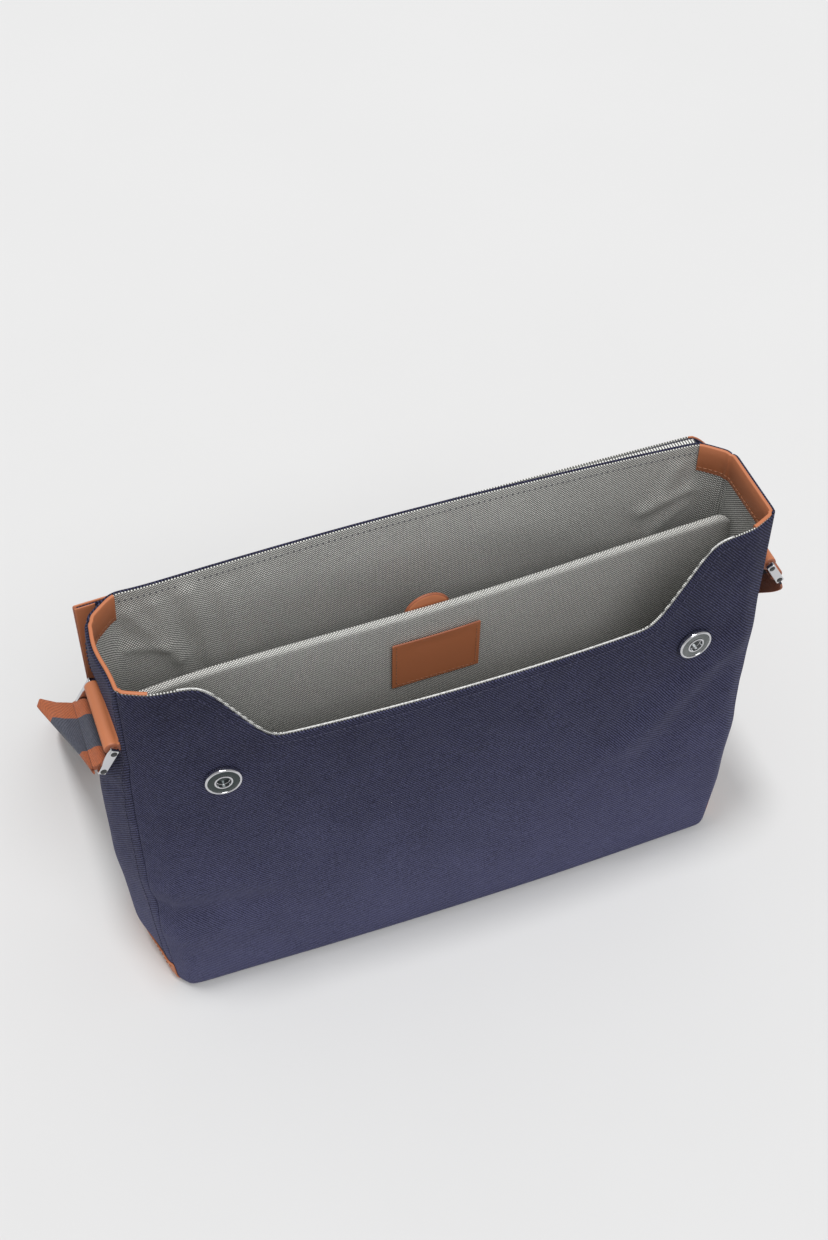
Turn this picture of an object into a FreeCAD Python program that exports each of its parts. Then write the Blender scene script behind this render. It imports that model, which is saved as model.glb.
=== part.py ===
import FreeCAD, Part
import math
import os

from FreeCAD import Vector

# Open messenger bag standing on its base, flap thrown back behind it.
# Millimetres.  +X runs along the bag's width, -Y is its front, +Z is up.
# The origin is the middle of the base, on the surface the bag stands on.

# ---------------------------------------------------------------- driving sizes
bag_width = 400.0            # across the rim, outside
bag_height = 300.0           # floor to rim
foot_tuck = 6.0              # each gusset's foot, inward of its rim
belly_bulge = 1.0            # each gusset's fullest section, outward of its rim
belly_height = 130.0         # height of the fullest section
base_front = 48.0            # depth forward of centre, middle of the front, at the foot
base_rear = 46.0             # depth behind centre, middle of the back, at the foot
belly_front = 50.0
belly_rear = 48.0
rim_front = 48.0
rim_rear = 49.0
base_corner_front = 36.0     # where the gusset meets the front panel, forward of centre
base_corner_rear = 36.0
belly_corner_front = 33.0
belly_corner_rear = 33.0
rim_corner_front = 27.0
rim_corner_rear = 28.0
base_shoulder = 8.0          # width of the slanted corner, along X
belly_shoulder = 13.0
rim_shoulder = 17.0
base_shoulder_front = 45.0   # depth of the slanted corner's inner end
base_shoulder_rear = 44.0
belly_shoulder_front = 44.0
belly_shoulder_rear = 44.0
rim_shoulder_front = 35.0
rim_shoulder_rear = 43.5
bow_points = 7               # points along each bowed face, between its shoulders

canvas = 1.8                 # outer canvas with its interlining
lining = 0.8
leather = 1.2
layer_gap = 0.2              # between layers that are sewn together
fit_gap = 0.3                # between pieces of different bodies
seat_gap = 0.1               # round a piece pressed into its seat
fuse_depth = 0.2             # how far two lumps of one piece run into each other
cut_spare = 1.0              # how far a cutting block runs past what it cuts

# scooped front edge
scoop_side = 47.0            # from the gusset in to the scoop's top end
scoop_slant = 35.0           # sideways run of the scoop's sloping ends
scoop_depth = 54.0
scoop_round = 24.0
lining_edge = 0.8            # how far the lining stands above the canvas along the scoop

# base
base_leather = 2.0
base_upturn = 20.0           # leather turned up over the foot of each gusset
board = 2.0

# padded divider
divider_drop = 37.0          # rim to the divider's top
divider_front_y = 3.5
divider_foam = 5.0
tab_width = 28.0
tab_rise = 13.0
tab_root = 22.0
tab_x = -5.0
patch_width = 57.0
patch_height = 40.5
patch_x = -2.0
patch_drop = 24.0            # divider's top to the patch

facing_height = 20.0
facing_cap = 1.0
edge_set_in = 0.6            # flat leather edges, inward of the outline

# magnetic snaps
snap_side = 51.0             # from the gusset in to each snap's middle
snap_drop = 80.0             # rim down to each snap's middle
snap_radius = 11.0
snap_thick = 3.2
snap_hole_radius = 4.4
snap_hole_depth = 2.6
magnet_outer = 9.5
magnet_inner = 5.6
magnet_thick = 1.6
washer_radius = 8.0
washer_thick = 0.8
stem_radius = 4.0
nose_radius = 3.3
nose_seat_gap = 0.5          # nose tip to the bottom of the socket
stud_plate_radius = 9.0
stud_plate = 1.0
stud_collar_radius = 5.0
stud_collar_gap = 1.3        # collar to the socket's face

# flap
flap_overhang = 4.0          # flap beyond each gusset
flap_canvas = 1.3
flap_lining = 1.0
flap_edge_band = 23.0        # leather band along each side, on the lining face
flap_front_length = 150.0
flap_rim_gap = 0.5           # closed flap above the rim facings
flap_belly_gap = 0.6         # closed flap in front of the front panel
flap_back_gap = 0.8          # hanging flap behind the hinge strip
hinge_strip = 1.2
hinge_strip_height = 15.0
hinge_strip_rise = 0.5       # strip above the rim

# ring tabs and rings
ring_low = 50.0              # rim down to the rings' upper bars
bar_radius = 2.2
bar_gap = 0.35
tab_wall = 2.15
webbing_width = 48.0
webbing = 1.6
ring_drop = 15.0             # upper bar to lower bar
ring_angle = 30.0            # ring hangs this far out from straight down
leg_thick = 3.2
leg_width = 5.2
leg_gap = 0.6                # webbing edge to ring leg
tail_thick = 3.0

# shoulder strap
loop_reach = 5.5             # sewn loop outward from the ring's lower bar
loop_rise = 12.0             # degrees the loop of the left end rises outward
loop_fall = 66.0             # degrees the loop of the right end falls outward
first_bend = 5.0             # left strap's first bend past its loop
bend_webbing = 48.0          # webbing width that the left strap's bends suit; wider webbing bends further out
strap_floor_gap = 0.2
slider_x = 0.0
slider_lift = 2.4            # strap held up by the slider's lower bar
slider_bar = 1.6
slider_depth = 22.0
slider_wall = 3.6
slider_half_travel = 40.0
slider_row = 242.0           # depth behind centre of the strap's straight stretch
slider_bar_width = 4.4

# ---------------------------------------------------------------- derived sizes
half_bag = bag_width / 2
wall = canvas + layer_gap + lining
scoop_top_half = half_bag - scoop_side
scoop_bottom_half = scoop_top_half - scoop_slant
divider_height = bag_height - divider_drop
patch_top = divider_height - patch_drop
snap_x = half_bag - snap_side
snap_z = bag_height - snap_drop
flap_half_width = half_bag + flap_overhang
ring_z = bag_height - ring_low
socket_standoff = layer_gap
rear_reach = max(base_rear, belly_rear, rim_rear)
hinge_y = rear_reach + layer_gap + hinge_strip + flap_back_gap
flap_thick = flap_canvas + layer_gap + flap_lining
hinge_z = bag_height + facing_cap + flap_rim_gap + flap_thick
bridge_length = hinge_y + max(rim_front, belly_front) + flap_belly_gap
fold_y = hinge_y + flap_thick        # front fold, on the lining face
fold_z = hinge_z - bridge_length
snap_rest_z = snap_z + flap_thick - bridge_length
tab_outer = bar_radius + bar_gap + tab_wall
half_webbing = webbing_width / 2.0
floor_z = base_leather + layer_gap
board_top = floor_z + board
lining_floor = board_top + layer_gap
inside_floor = lining_floor + lining

parts = {}


def keep(name, shape):
    """Store a finished sub-part under its node name."""
    parts[name] = shape


# ---------------------------------------------------------------- bag outline
def level_values(z):
    """Outline sizes at height z, straight between foot, belly and rim."""
    foot = (half_bag - foot_tuck, base_corner_front, base_shoulder, base_shoulder_front, base_front,
            base_corner_rear, base_shoulder_rear, base_rear)
    belly = (half_bag + belly_bulge, belly_corner_front, belly_shoulder, belly_shoulder_front, belly_front,
             belly_corner_rear, belly_shoulder_rear, belly_rear)
    rim = (half_bag, rim_corner_front, rim_shoulder, rim_shoulder_front, rim_front,
           rim_corner_rear, rim_shoulder_rear, rim_rear)
    if z < belly_height:
        low, high, low_z, high_z = foot, belly, 0.0, belly_height
    else:
        low, high, low_z, high_z = belly, rim, belly_height, bag_height
    share = (z - low_z) / (high_z - low_z)
    return [a + (b - a) * share for a, b in zip(low, high)]


def bowed(half_x, shoulder_y, middle_y):
    """Points of one bowed face from -half_x to +half_x, shoulders included."""
    steps = bow_points + 1
    points = []
    for index in range(steps + 1):
        x = -half_x + 2 * half_x * index / steps
        y = middle_y + (shoulder_y - middle_y) * (x / half_x) ** 2
        points.append((x, y))
    return points


def outline(z):
    """Closed outer outline at height z, anticlockwise from the front left corner."""
    half, corner_f, shoulder, should_f, mid_f, corner_r, should_r, mid_r = level_values(z)
    front = bowed(half - shoulder, -should_f, -mid_f)
    rear = bowed(half - shoulder, should_r, mid_r)
    rear.reverse()
    points = [(-half, -corner_f)] + front + [(half, -corner_f)]
    points += [(half, corner_r)] + rear + [(-half, corner_r)]
    return points


face_points = bow_points + 2
FRONT_SPAN = (0, face_points + 1)
RIGHT_SPAN = (face_points + 1, face_points + 2)
REAR_SPAN = (face_points + 2, 2 * face_points + 3)
LEFT_SPAN = (2 * face_points + 3, 2 * face_points + 4)


def inset(points, distance):
    """Offset a closed anticlockwise outline inwards, mitred."""
    count = len(points)
    moved = []
    for index in range(count):
        before = points[index - 1]
        here = points[index]
        after = points[(index + 1) % count]
        first = math.atan2(here[1] - before[1], here[0] - before[0])
        second = math.atan2(after[1] - here[1], after[0] - here[0])
        turn = second - first
        if turn < -math.pi:
            turn += 2 * math.pi
        if turn > math.pi:
            turn -= 2 * math.pi
        middle = first + turn / 2 + math.pi / 2
        reach = distance / math.cos(turn / 2)
        moved.append((here[0] + reach * math.cos(middle), here[1] + reach * math.sin(middle)))
    return moved


def pick(points, span):
    """Points of a closed outline from span[0] to span[1], both included."""
    count = len(points)
    return [points[index % count] for index in range(span[0], span[1] + 1)]


def strip_wire(z, span, outside, inside):
    """Closed wire at height z between two insets of the outline, along a span."""
    outer = pick(inset(outline(z), outside), span)
    inner = pick(inset(outline(z), inside), span)
    inner.reverse()
    corners = [Vector(x, y, z) for x, y in outer + inner]
    return Part.makePolygon(corners + [corners[0]])


def wall_shell(span, outside, inside, z_low, z_high):
    """Upright wall following the bag's outline between two insets and two heights."""
    heights = [z_low, z_high]
    if z_low < belly_height < z_high:
        heights.insert(1, belly_height)
    wires = [strip_wire(z, span, outside, inside) for z in heights]
    return Part.makeLoft(wires, True, True)


def plate(z, inset_by, thickness):
    """Flat plate in the shape of the outline at height z, set in all round."""
    corners = [Vector(x, y, z) for x, y in inset(outline(z), inset_by)]
    face = Part.Face(Part.makePolygon(corners + [corners[0]]))
    return face.extrude(Vector(0, 0, thickness))


def front_y(x, z):
    """Y of the front panel's outer face."""
    half, corner_f, shoulder, should_f, mid_f, corner_r, should_r, mid_r = level_values(z)
    return -mid_f + (mid_f - should_f) * (x / (half - shoulder)) ** 2


def gusset_x(z):
    """Half the bag's outside width at height z."""
    return level_values(z)[0]


# ---------------------------------------------------------------- small makers
def box(x0, x1, y0, y1, z0, z1):
    """Block between two corners."""
    return Part.makeBox(x1 - x0, y1 - y0, z1 - z0, Vector(x0, y0, z0))


def rounded_outline(corners, radii, plane_y):
    """Closed XZ wire through corners, each rounded by its radius."""
    count = len(corners)
    edges = []
    starts = []
    ends = []
    arcs = []
    for index in range(count):
        here = Vector(corners[index][0], plane_y, corners[index][1])
        before = Vector(corners[index - 1][0], plane_y, corners[index - 1][1])
        following = corners[(index + 1) % count]
        after = Vector(following[0], plane_y, following[1])
        into = (before - here).normalize()
        out = (after - here).normalize()
        radius = radii[index]
        if radius == 0:
            starts.append(here)
            ends.append(here)
            arcs.append(None)
            continue
        half_angle = into.getAngle(out) / 2
        back = radius / math.tan(half_angle)
        bisector = (into + out).normalize()
        middle = here + bisector * (radius / math.sin(half_angle) - radius)
        starts.append(here + into * back)
        ends.append(here + out * back)
        arcs.append(Part.Arc(starts[-1], middle, ends[-1]).toShape())
    for index in range(count):
        if arcs[index] is not None:
            edges.append(arcs[index])
        edges.append(Part.makeLine(ends[index], starts[(index + 1) % count]))
    return Part.Wire(edges)


def scoop_cutter(drop):
    """Prism that trims the front to the rim and opens the scoop, lowered by drop."""
    low = bag_height - scoop_depth - drop
    rim = bag_height
    far = bag_width
    top_half = scoop_top_half + drop
    bottom_half = scoop_bottom_half + drop
    corners = [(-far, rim + far), (-far, rim), (-top_half, rim), (-bottom_half, low),
               (bottom_half, low), (top_half, rim), (far, rim), (far, rim + far)]
    radii = [0, 0, scoop_round, scoop_round, scoop_round, scoop_round, 0, 0]
    wire = rounded_outline(corners, radii, -far)
    return Part.Face(wire).extrude(Vector(0, far, 0))


def disc(centre, direction, radius, start, length):
    """Cylinder along direction, from start to start + length past centre."""
    return Part.makeCylinder(radius, length, centre + direction * start, direction)


def snap_frame(side):
    """Point on the front panel's face at a snap, and the face's outward normal."""
    x = side * snap_x
    step = 1.0
    across = Vector(step, front_y(x + step, snap_z) - front_y(x, snap_z), 0)
    up = Vector(0, front_y(x, snap_z + step) - front_y(x, snap_z), step)
    normal = across.cross(up).normalize()
    return Vector(x, front_y(x, snap_z), snap_z), normal


def group(shapes):
    """Several solids in one node."""
    return Part.makeCompound(shapes)


# ---------------------------------------------------------------- bag body
def tab_slit(side):
    """Block that clears a ring tab's tail where it goes through the bag's wall."""
    reach = gusset_x(ring_z)
    xs = sorted((side * (reach - 2 * canvas), side * (reach + 2 * canvas)))
    half_slit = half_webbing + layer_gap
    half_tail = tail_thick / 2 + layer_gap
    return box(xs[0], xs[1], -half_slit, half_slit, ring_z - half_tail, ring_z + half_tail)


def make_front():
    """Front panel and its lining, scooped, with seats for the snaps."""
    trim = bag_height + cut_spare
    outer = wall_shell(FRONT_SPAN, 0.0, canvas, floor_z, trim)
    outer = outer.cut(scoop_cutter(lining_edge))
    for side in (-1, 1):
        centre, normal = snap_frame(side)
        outer = outer.cut(disc(centre, normal, stem_radius + layer_gap, -2 * canvas, 4 * canvas))
        pocket = washer_radius + layer_gap
        outer = outer.cut(disc(centre, normal, pocket, -2 * canvas, canvas + washer_thick + layer_gap))
        outer = outer.cut(tab_slit(side))
    inner = wall_shell(FRONT_SPAN, canvas + layer_gap, wall, inside_floor, trim)
    inner = inner.cut(scoop_cutter(0.0))
    keep("front_panel", outer)
    keep("lining_front", inner)


def make_rear():
    """Rear panel and its lining."""
    outer = wall_shell(REAR_SPAN, 0.0, canvas, floor_z, bag_height)
    for side in (-1, 1):
        outer = outer.cut(tab_slit(side))
    keep("rear_panel", outer)
    keep("lining_rear", wall_shell(REAR_SPAN, canvas + layer_gap, wall, inside_floor, bag_height))


def make_gussets():
    """Side gussets with a slit for the ring tab, and their linings."""
    for name, span, side in (("left", LEFT_SPAN, -1), ("right", RIGHT_SPAN, 1)):
        outer = wall_shell(span, 0.0, canvas, floor_z, bag_height)
        keep("gusset_" + name, outer.cut(tab_slit(side)))
        keep("lining_" + name, wall_shell(span, canvas + layer_gap, wall, inside_floor, bag_height))


def make_base():
    """Leather base turned up over the gussets, stiffening board and bottom lining."""
    outside = -(leather + layer_gap)
    foot = plate(0.0, edge_set_in, base_leather)
    for span in (LEFT_SPAN, RIGHT_SPAN):
        foot = foot.fuse(wall_shell(span, outside, -layer_gap, 0.0, base_upturn))
        foot = foot.fuse(wall_shell(span, outside, canvas, 0.0, base_leather))
    keep("leather_base", foot.removeSplitter())
    keep("base_board", plate(floor_z, canvas + layer_gap, board))
    keep("lining_bottom", plate(lining_floor, canvas + layer_gap, lining))


def make_rim_facings():
    """Leather facing folded over the rim at each end of the mouth."""
    inner = wall + layer_gap
    spans = {
        "left": (LEFT_SPAN[0] - 1, LEFT_SPAN[1] + 1),
        "right": (RIGHT_SPAN[0] - 1, RIGHT_SPAN[1] + 1),
    }
    for name, span in spans.items():
        leaf = wall_shell(span, inner, inner + leather, bag_height - facing_height, bag_height)
        cap = wall_shell(span, edge_set_in, inner + leather, bag_height, bag_height + facing_cap)
        keep("rim_facing_" + name, leaf.fuse(cap).removeSplitter())


# ---------------------------------------------------------------- divider
def divider_slab(y_low, y_high, top, clearance):
    """Upright slab between the gusset linings, following their bulge."""
    inner = wall + fit_gap + clearance
    bottom = inside_floor + layer_gap + clearance
    heights = [bottom, belly_height, top]
    right = [Vector(gusset_x(z) - inner, y_low, z) for z in heights]
    left = [Vector(-gusset_x(z) + inner, y_low, z) for z in heights]
    left.reverse()
    corners = right + left
    face = Part.Face(Part.makePolygon(corners + [corners[0]]))
    return face.extrude(Vector(0, y_high - y_low, 0))


def make_divider():
    """Foam divider in a fabric cover, with its pull tab and leather patch."""
    foam_front = divider_front_y + lining
    foam_rear = foam_front + divider_foam
    rear_face = foam_rear + lining
    foam = divider_slab(foam_front, foam_rear, divider_height - lining, 0.0)
    front = divider_slab(divider_front_y, foam_front, divider_height, 0.0)
    over = divider_slab(foam_front, foam_rear, divider_height, 0.0).cut(foam)
    cover_low = divider_height - lining
    over = over.common(box(-bag_width, bag_width, foam_front, foam_rear, cover_low, divider_height))
    keep("divider_foam", foam)
    keep("divider_front_cover", front.fuse(over).removeSplitter())
    keep("divider_rear_cover", divider_slab(foam_rear, rear_face, divider_height, 0.0))

    tab_front = rear_face + layer_gap
    half = tab_width / 2
    root = box(tab_x - half, tab_x + half, tab_front, tab_front + leather,
               divider_height - tab_root, divider_height + tab_rise - half + fuse_depth)
    dome_centre = Vector(tab_x, tab_front, divider_height + tab_rise - half)
    dome = Part.makeCylinder(half, leather, dome_centre, Vector(0, 1, 0))
    above = box(tab_x - half, tab_x + half, tab_front, tab_front + leather,
                divider_height - tab_root, divider_height + tab_rise + cut_spare)
    keep("divider_pull_tab", root.fuse(dome).common(above).removeSplitter())

    patch_back = divider_front_y - layer_gap
    patch = box(patch_x - patch_width / 2, patch_x + patch_width / 2,
                patch_back - leather, patch_back, patch_top - patch_height, patch_top)
    keep("leather_patch", patch)


# ---------------------------------------------------------------- snaps
def make_sockets():
    """Magnetic socket halves on the front panel: cap, ring magnet and back washer."""
    caps = []
    magnets = []
    washers = []
    for side in (-1, 1):
        centre, normal = snap_frame(side)
        cap = disc(centre, normal, snap_radius, socket_standoff, snap_thick)
        mouth = socket_standoff + snap_thick - snap_hole_depth
        cap = cap.cut(disc(centre, normal, snap_hole_radius, mouth, snap_hole_depth + cut_spare))
        seat = disc(centre, normal, magnet_outer + seat_gap, socket_standoff, magnet_thick + seat_gap)
        core = disc(centre, normal, magnet_inner - seat_gap, socket_standoff, magnet_thick + seat_gap)
        seat = seat.cut(core)
        cap = cap.cut(seat)
        stem_back = -(canvas - washer_thick)
        stem = disc(centre, normal, stem_radius, stem_back, socket_standoff + fuse_depth - stem_back)
        caps.append(cap.fuse(stem).removeSplitter())
        magnet = disc(centre, normal, magnet_outer, socket_standoff, magnet_thick)
        magnets.append(magnet.cut(disc(centre, normal, magnet_inner, 0.0, magnet_thick + cut_spare)))
        washers.append(disc(centre, normal, washer_radius, stem_back - washer_thick, washer_thick))
    keep("snap_socket_caps", group(caps))
    keep("snap_socket_magnets", group(magnets))
    keep("snap_socket_washers", group(washers))


def make_studs():
    """Snap studs on the flap's lining face, and their washers inside the flap."""
    lining_face = fold_y
    closed_shift = bridge_length + flap_thick
    socket_face = front_y(snap_x, snap_z) - socket_standoff - snap_thick + closed_shift
    tip = socket_face + snap_hole_depth - nose_seat_gap
    collar_end = socket_face - stud_collar_gap
    studs = []
    washers = []
    along = Vector(0, 1, 0)
    for side in (-1, 1):
        centre = Vector(side * snap_x, 0, snap_rest_z)
        stud = disc(centre, along, stud_plate_radius, lining_face, stud_plate)
        stud = stud.fuse(disc(centre, along, stud_collar_radius, lining_face, collar_end - lining_face))
        stud = stud.fuse(disc(centre, along, nose_radius, lining_face, tip - lining_face))
        stem_start = hinge_y + flap_canvas
        stud = stud.fuse(disc(centre, along, nose_radius, stem_start, lining_face - stem_start + fuse_depth))
        studs.append(stud.removeSplitter())
        washers.append(disc(centre, along, washer_radius, stem_start - washer_thick, washer_thick))
    keep("flap_snap_studs", group(studs))
    keep("flap_stud_washers", group(washers))


# ---------------------------------------------------------------- flap
def flap_layers(z_low, z_high):
    """Canvas, lining and leather side bands of one flap panel."""
    inner_face = hinge_y + flap_canvas + layer_gap
    outer_half = flap_half_width - leather
    band_start = flap_half_width - flap_edge_band
    shell = box(-outer_half, outer_half, hinge_y, hinge_y + flap_canvas, z_low, z_high)
    sheet_half = band_start - layer_gap
    sheet = box(-sheet_half, sheet_half, inner_face, inner_face + flap_lining, z_low, z_high)
    bands = []
    for side in (-1, 1):
        xs = sorted((side * band_start, side * flap_half_width))
        band = box(xs[0], xs[1], inner_face, inner_face + flap_lining, z_low, z_high)
        xs = sorted((side * (outer_half + seat_gap), side * flap_half_width))
        edge = box(xs[0], xs[1], hinge_y, inner_face + flap_lining, z_low, z_high)
        bands.append(band.fuse(edge).removeSplitter())
    return shell, sheet, bands


def make_flap():
    """Flap in two panels, hanging straight down behind the bag."""
    gap = fit_gap / 2
    shell, sheet, bands = flap_layers(fold_z + gap, hinge_z)
    keep("flap_bridge_canvas", shell)
    keep("flap_bridge_lining", sheet)
    keep("flap_bridge_edges", group(bands))
    shell, sheet, bands = flap_layers(fold_z - flap_front_length, fold_z - gap)
    along = Vector(0, 1, 0)
    for side in (-1, 1):
        centre = Vector(side * snap_x, 0, snap_rest_z)
        sheet = sheet.cut(disc(centre, along, nose_radius + layer_gap, hinge_y, 2 * flap_thick))
        pocket_start = hinge_y + flap_canvas - washer_thick
        shell = shell.cut(disc(centre, along, washer_radius + layer_gap, pocket_start, flap_canvas))
    keep("flap_front_canvas", shell)
    keep("flap_front_lining", sheet)
    keep("flap_front_edges", group(bands))


def make_hinge_strip():
    """Doubled canvas strip on the rear panel that the flap is sewn to."""
    span = (REAR_SPAN[0] + 1, REAR_SPAN[1] - 1)
    top = bag_height + hinge_strip_rise
    keep("flap_hinge_strip",
         wall_shell(span, -layer_gap - hinge_strip, -layer_gap, top - hinge_strip_height, top))


# ---------------------------------------------------------------- rings
def ring_axis_x():
    """Distance of each ring's upper bar from the bag's middle."""
    return gusset_x(ring_z) + seat_gap + tab_outer


def lower_bar(side):
    """Middle of a ring's lower bar."""
    lean = math.radians(ring_angle)
    return Vector(side * (ring_axis_x() + ring_drop * math.sin(lean)), 0, ring_z - ring_drop * math.cos(lean))


def make_ring_tab(name, side):
    """Leather tube round the ring's upper bar, its tail through the gusset."""
    axis_x = side * ring_axis_x()
    along = Vector(0, 1, 0)
    start = Vector(axis_x, -half_webbing, ring_z)
    tube = Part.makeCylinder(tab_outer, webbing_width, start, along)
    xs = sorted((axis_x, side * (gusset_x(ring_z) - canvas + seat_gap)))
    half_tail = tail_thick / 2
    tail = box(xs[0], xs[1], -half_webbing, half_webbing, ring_z - half_tail, ring_z + half_tail)
    hole_start = Vector(axis_x, -webbing_width, ring_z)
    hole = Part.makeCylinder(bar_radius + bar_gap, 2 * webbing_width, hole_start, along)
    keep("ring_tab_" + name, tube.fuse(tail).cut(hole).removeSplitter())


def make_ring(name, side):
    """Rectangular ring: two round bars and two flat legs."""
    axis = Vector(side * ring_axis_x(), 0, ring_z)
    along = Vector(0, 1, 0)
    inner = half_webbing + leg_gap
    length = 2 * (inner + leg_thick)
    ring = Part.makeCylinder(bar_radius, length, axis - along * (length / 2), along)
    low = lower_bar(side)
    ring = ring.fuse(Part.makeCylinder(bar_radius, length, low - along * (length / 2), along))
    overrun = leg_width / 2
    for end in (-1, 1):
        ys = sorted((end * inner, end * (inner + leg_thick)))
        leg = box(-leg_width / 2, leg_width / 2, ys[0], ys[1], -ring_drop - overrun, overrun)
        leg.rotate(Vector(0, 0, 0), along, side * -ring_angle)
        leg.translate(axis)
        ring = ring.fuse(leg)
    keep("strap_ring_" + name, ring.removeSplitter())


# ---------------------------------------------------------------- shoulder strap
def loop_direction(name):
    """Way the sewn loop leaves the ring's lower bar."""
    if name == "left":
        rise = math.radians(loop_rise)
        return Vector(-math.cos(rise), 0, math.sin(rise))
    fall = math.radians(loop_fall)
    return Vector(math.cos(fall), 0, -math.sin(fall))


def make_strap_end(name, side):
    """Webbing sewn round the ring's lower bar."""
    bar = lower_bar(side)
    along = Vector(0, 1, 0)
    start = bar - along * half_webbing
    inner = bar_radius + layer_gap
    loop = Part.makeCylinder(inner + webbing, webbing_width, start, along)
    out = loop_direction(name)
    slab = box(0, loop_reach, -half_webbing, half_webbing, -webbing, webbing)
    turn = math.degrees(math.atan2(-out.z, out.x))
    slab.rotate(Vector(0, 0, 0), along, turn)
    slab.translate(bar)
    hole = Part.makeCylinder(inner, webbing_width, start, along)
    keep("strap_end_" + name, loop.fuse(slab).cut(hole).removeSplitter())


# Each station is a point on the strap's middle line and the direction of its width.
def left_route():
    """Stations from the left ring's loop, over its fold, to the floor behind the bag."""
    bar = lower_bar(-1)
    out = loop_direction("left")
    first = bar + out * (loop_reach + fuse_depth)
    spread = webbing_width / bend_webbing
    bend = bar + out * (loop_reach + first_bend * spread)
    return [
        (first, Vector(0, 1, 0)),
        (bend + Vector(0, 0.8, 0), Vector(-0.14, 0.989, 0.03)),
        (bar + Vector(-13.6 * spread, 1.8, 2.1), Vector(-0.27, 0.958, 0.08)),
        (bar + Vector(-14.6 * spread, 3.0, 0.4), Vector(-0.37, 0.92, 0.13)),
        (bar + Vector(-14.4 * spread, 5.5, -3.6), Vector(-0.38, 0.91, 0.15)),
        (bar + Vector(-12.6 * spread, 11.0, -12.0), Vector(-0.38, 0.91, 0.17)),
        (Vector(-half_bag - 23, 32, 0.796 * ring_z), Vector(-0.37, 0.91, 0.19)),
        (Vector(-half_bag - 21, 78, 0.544 * ring_z), Vector(-0.36, 0.91, 0.20)),
        (Vector(-half_bag - 19, 124, 0.288 * ring_z), Vector(-0.36, 0.92, 0.16)),
        (Vector(-half_bag - 16, 158, 0.112 * ring_z), Vector(-0.37, 0.925, 0.08)),
    ]


def right_route():
    """Stations from the right ring's loop to the floor behind the bag."""
    bar = lower_bar(1)
    out = loop_direction("right")
    first = bar + out * (loop_reach + fuse_depth)
    return [
        (first, Vector(0, 1, 0)),
        (bar + out * 13.0 + Vector(0.5, 4, 0), Vector(0.03, 0.99, 0.06)),
        (Vector(half_bag + 18.5, 22, 0.812 * ring_z), Vector(0.10, 0.98, 0.16)),
        (Vector(half_bag + 18.5, 46, 0.688 * ring_z), Vector(0.18, 0.96, 0.20)),
        (Vector(half_bag + 18.5, 86, 0.480 * ring_z), Vector(0.27, 0.94, 0.20)),
        (Vector(half_bag + 18, 126, 0.268 * ring_z), Vector(0.33, 0.93, 0.15)),
        (Vector(half_bag + 16, 160, 0.104 * ring_z), Vector(0.37, 0.925, 0.08)),
    ]


def floor_stations():
    """Stations of the strap's run on the floor, left to right, its middle held up by the slider."""
    low = strap_floor_gap + webbing / 2
    high = low + slider_lift
    flat = slider_half_travel + slider_depth
    half = [
        (Vector(-1.03 * half_bag, slider_row - 64, low + 7.6), Vector(-0.40, 0.916, 0.02)),
        (Vector(-0.95 * half_bag, slider_row - 50, low + 1.2), Vector(-0.45, 0.893, 0)),
        (Vector(-0.84 * half_bag, slider_row - 36, low), Vector(-0.42, 0.907, 0)),
        (Vector(-0.70 * half_bag, slider_row - 22, low), Vector(-0.34, 0.940, 0)),
        (Vector(-0.54 * half_bag, slider_row - 10, low), Vector(-0.22, 0.975, 0)),
        (Vector(-flat - 12.0, slider_row - 1, high - 0.6), Vector(-0.06, 0.998, 0)),
        (Vector(-flat, slider_row, high), Vector(0, 1, 0)),
    ]
    mirrored = [(Vector(-p.x, p.y, p.z), Vector(-w.x, w.y, w.z)) for p, w in half]
    mirrored.reverse()
    return half + mirrored


def section(stations, index, thickness):
    """Corners of the webbing's cross-section at one station."""
    point, across = stations[index]
    before = stations[max(index - 1, 0)][0]
    after = stations[min(index + 1, len(stations) - 1)][0]
    along = (after - before).normalize()
    normal = along.cross(across)
    a = across * (half_webbing / normal.Length)
    b = normal.normalize() * (thickness / 2)
    return [point - a - b, point + a - b, point + a + b, point - a + b]


def ribbon(stations, first, last):
    """Webbing between two stations of a route, in flat facets."""
    rings = [section(stations, index, webbing) for index in range(first, last + 1)]
    count = 4 * len(rings)
    points = [corner for ring in rings for corner in ring]
    facets = [(0, 3, 2), (0, 2, 1), (count - 4, count - 3, count - 2), (count - 4, count - 2, count - 1)]
    for ring in range(len(rings) - 1):
        for corner in range(4):
            near = 4 * ring + corner
            near_next = 4 * ring + (corner + 1) % 4
            if corner == 2:      # same diagonal as the face below, so the webbing keeps its thickness
                facets.append((near, near_next, near + 4))
                facets.append((near_next, near_next + 4, near + 4))
            else:
                facets.append((near, near_next, near_next + 4))
                facets.append((near, near_next + 4, near + 4))
    faces = []
    for facet in facets:
        corners = [points[index] for index in facet]
        faces.append(Part.Face(Part.makePolygon(corners + [corners[0]])))
    skin = Part.makeShell(faces)
    skin.sewShape()
    skin.fix(0.001, 0.001, 0.001)
    return Part.makeSolid(skin)


def route_length(stations):
    """Length of the strap's middle line."""
    total = 0.0
    for index in range(len(stations) - 1):
        total += (stations[index + 1][0] - stations[index][0]).Length
    return total


def make_strap():
    """Free webbing: a run down from each ring and the run on the floor."""
    left = left_route()
    middle = floor_stations()
    right = right_route()
    right.reverse()
    whole = left + middle + right
    first = len(left)
    last = len(left) + len(middle) - 1
    keep("strap_run_left", ribbon(whole, 0, first))
    keep("shoulder_strap", ribbon(whole, first, last))
    keep("strap_run_right", ribbon(whole, last, len(whole) - 1))
    print("strap length, ring to ring:", round(route_length(whole) + 2 * loop_reach, 1))


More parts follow.
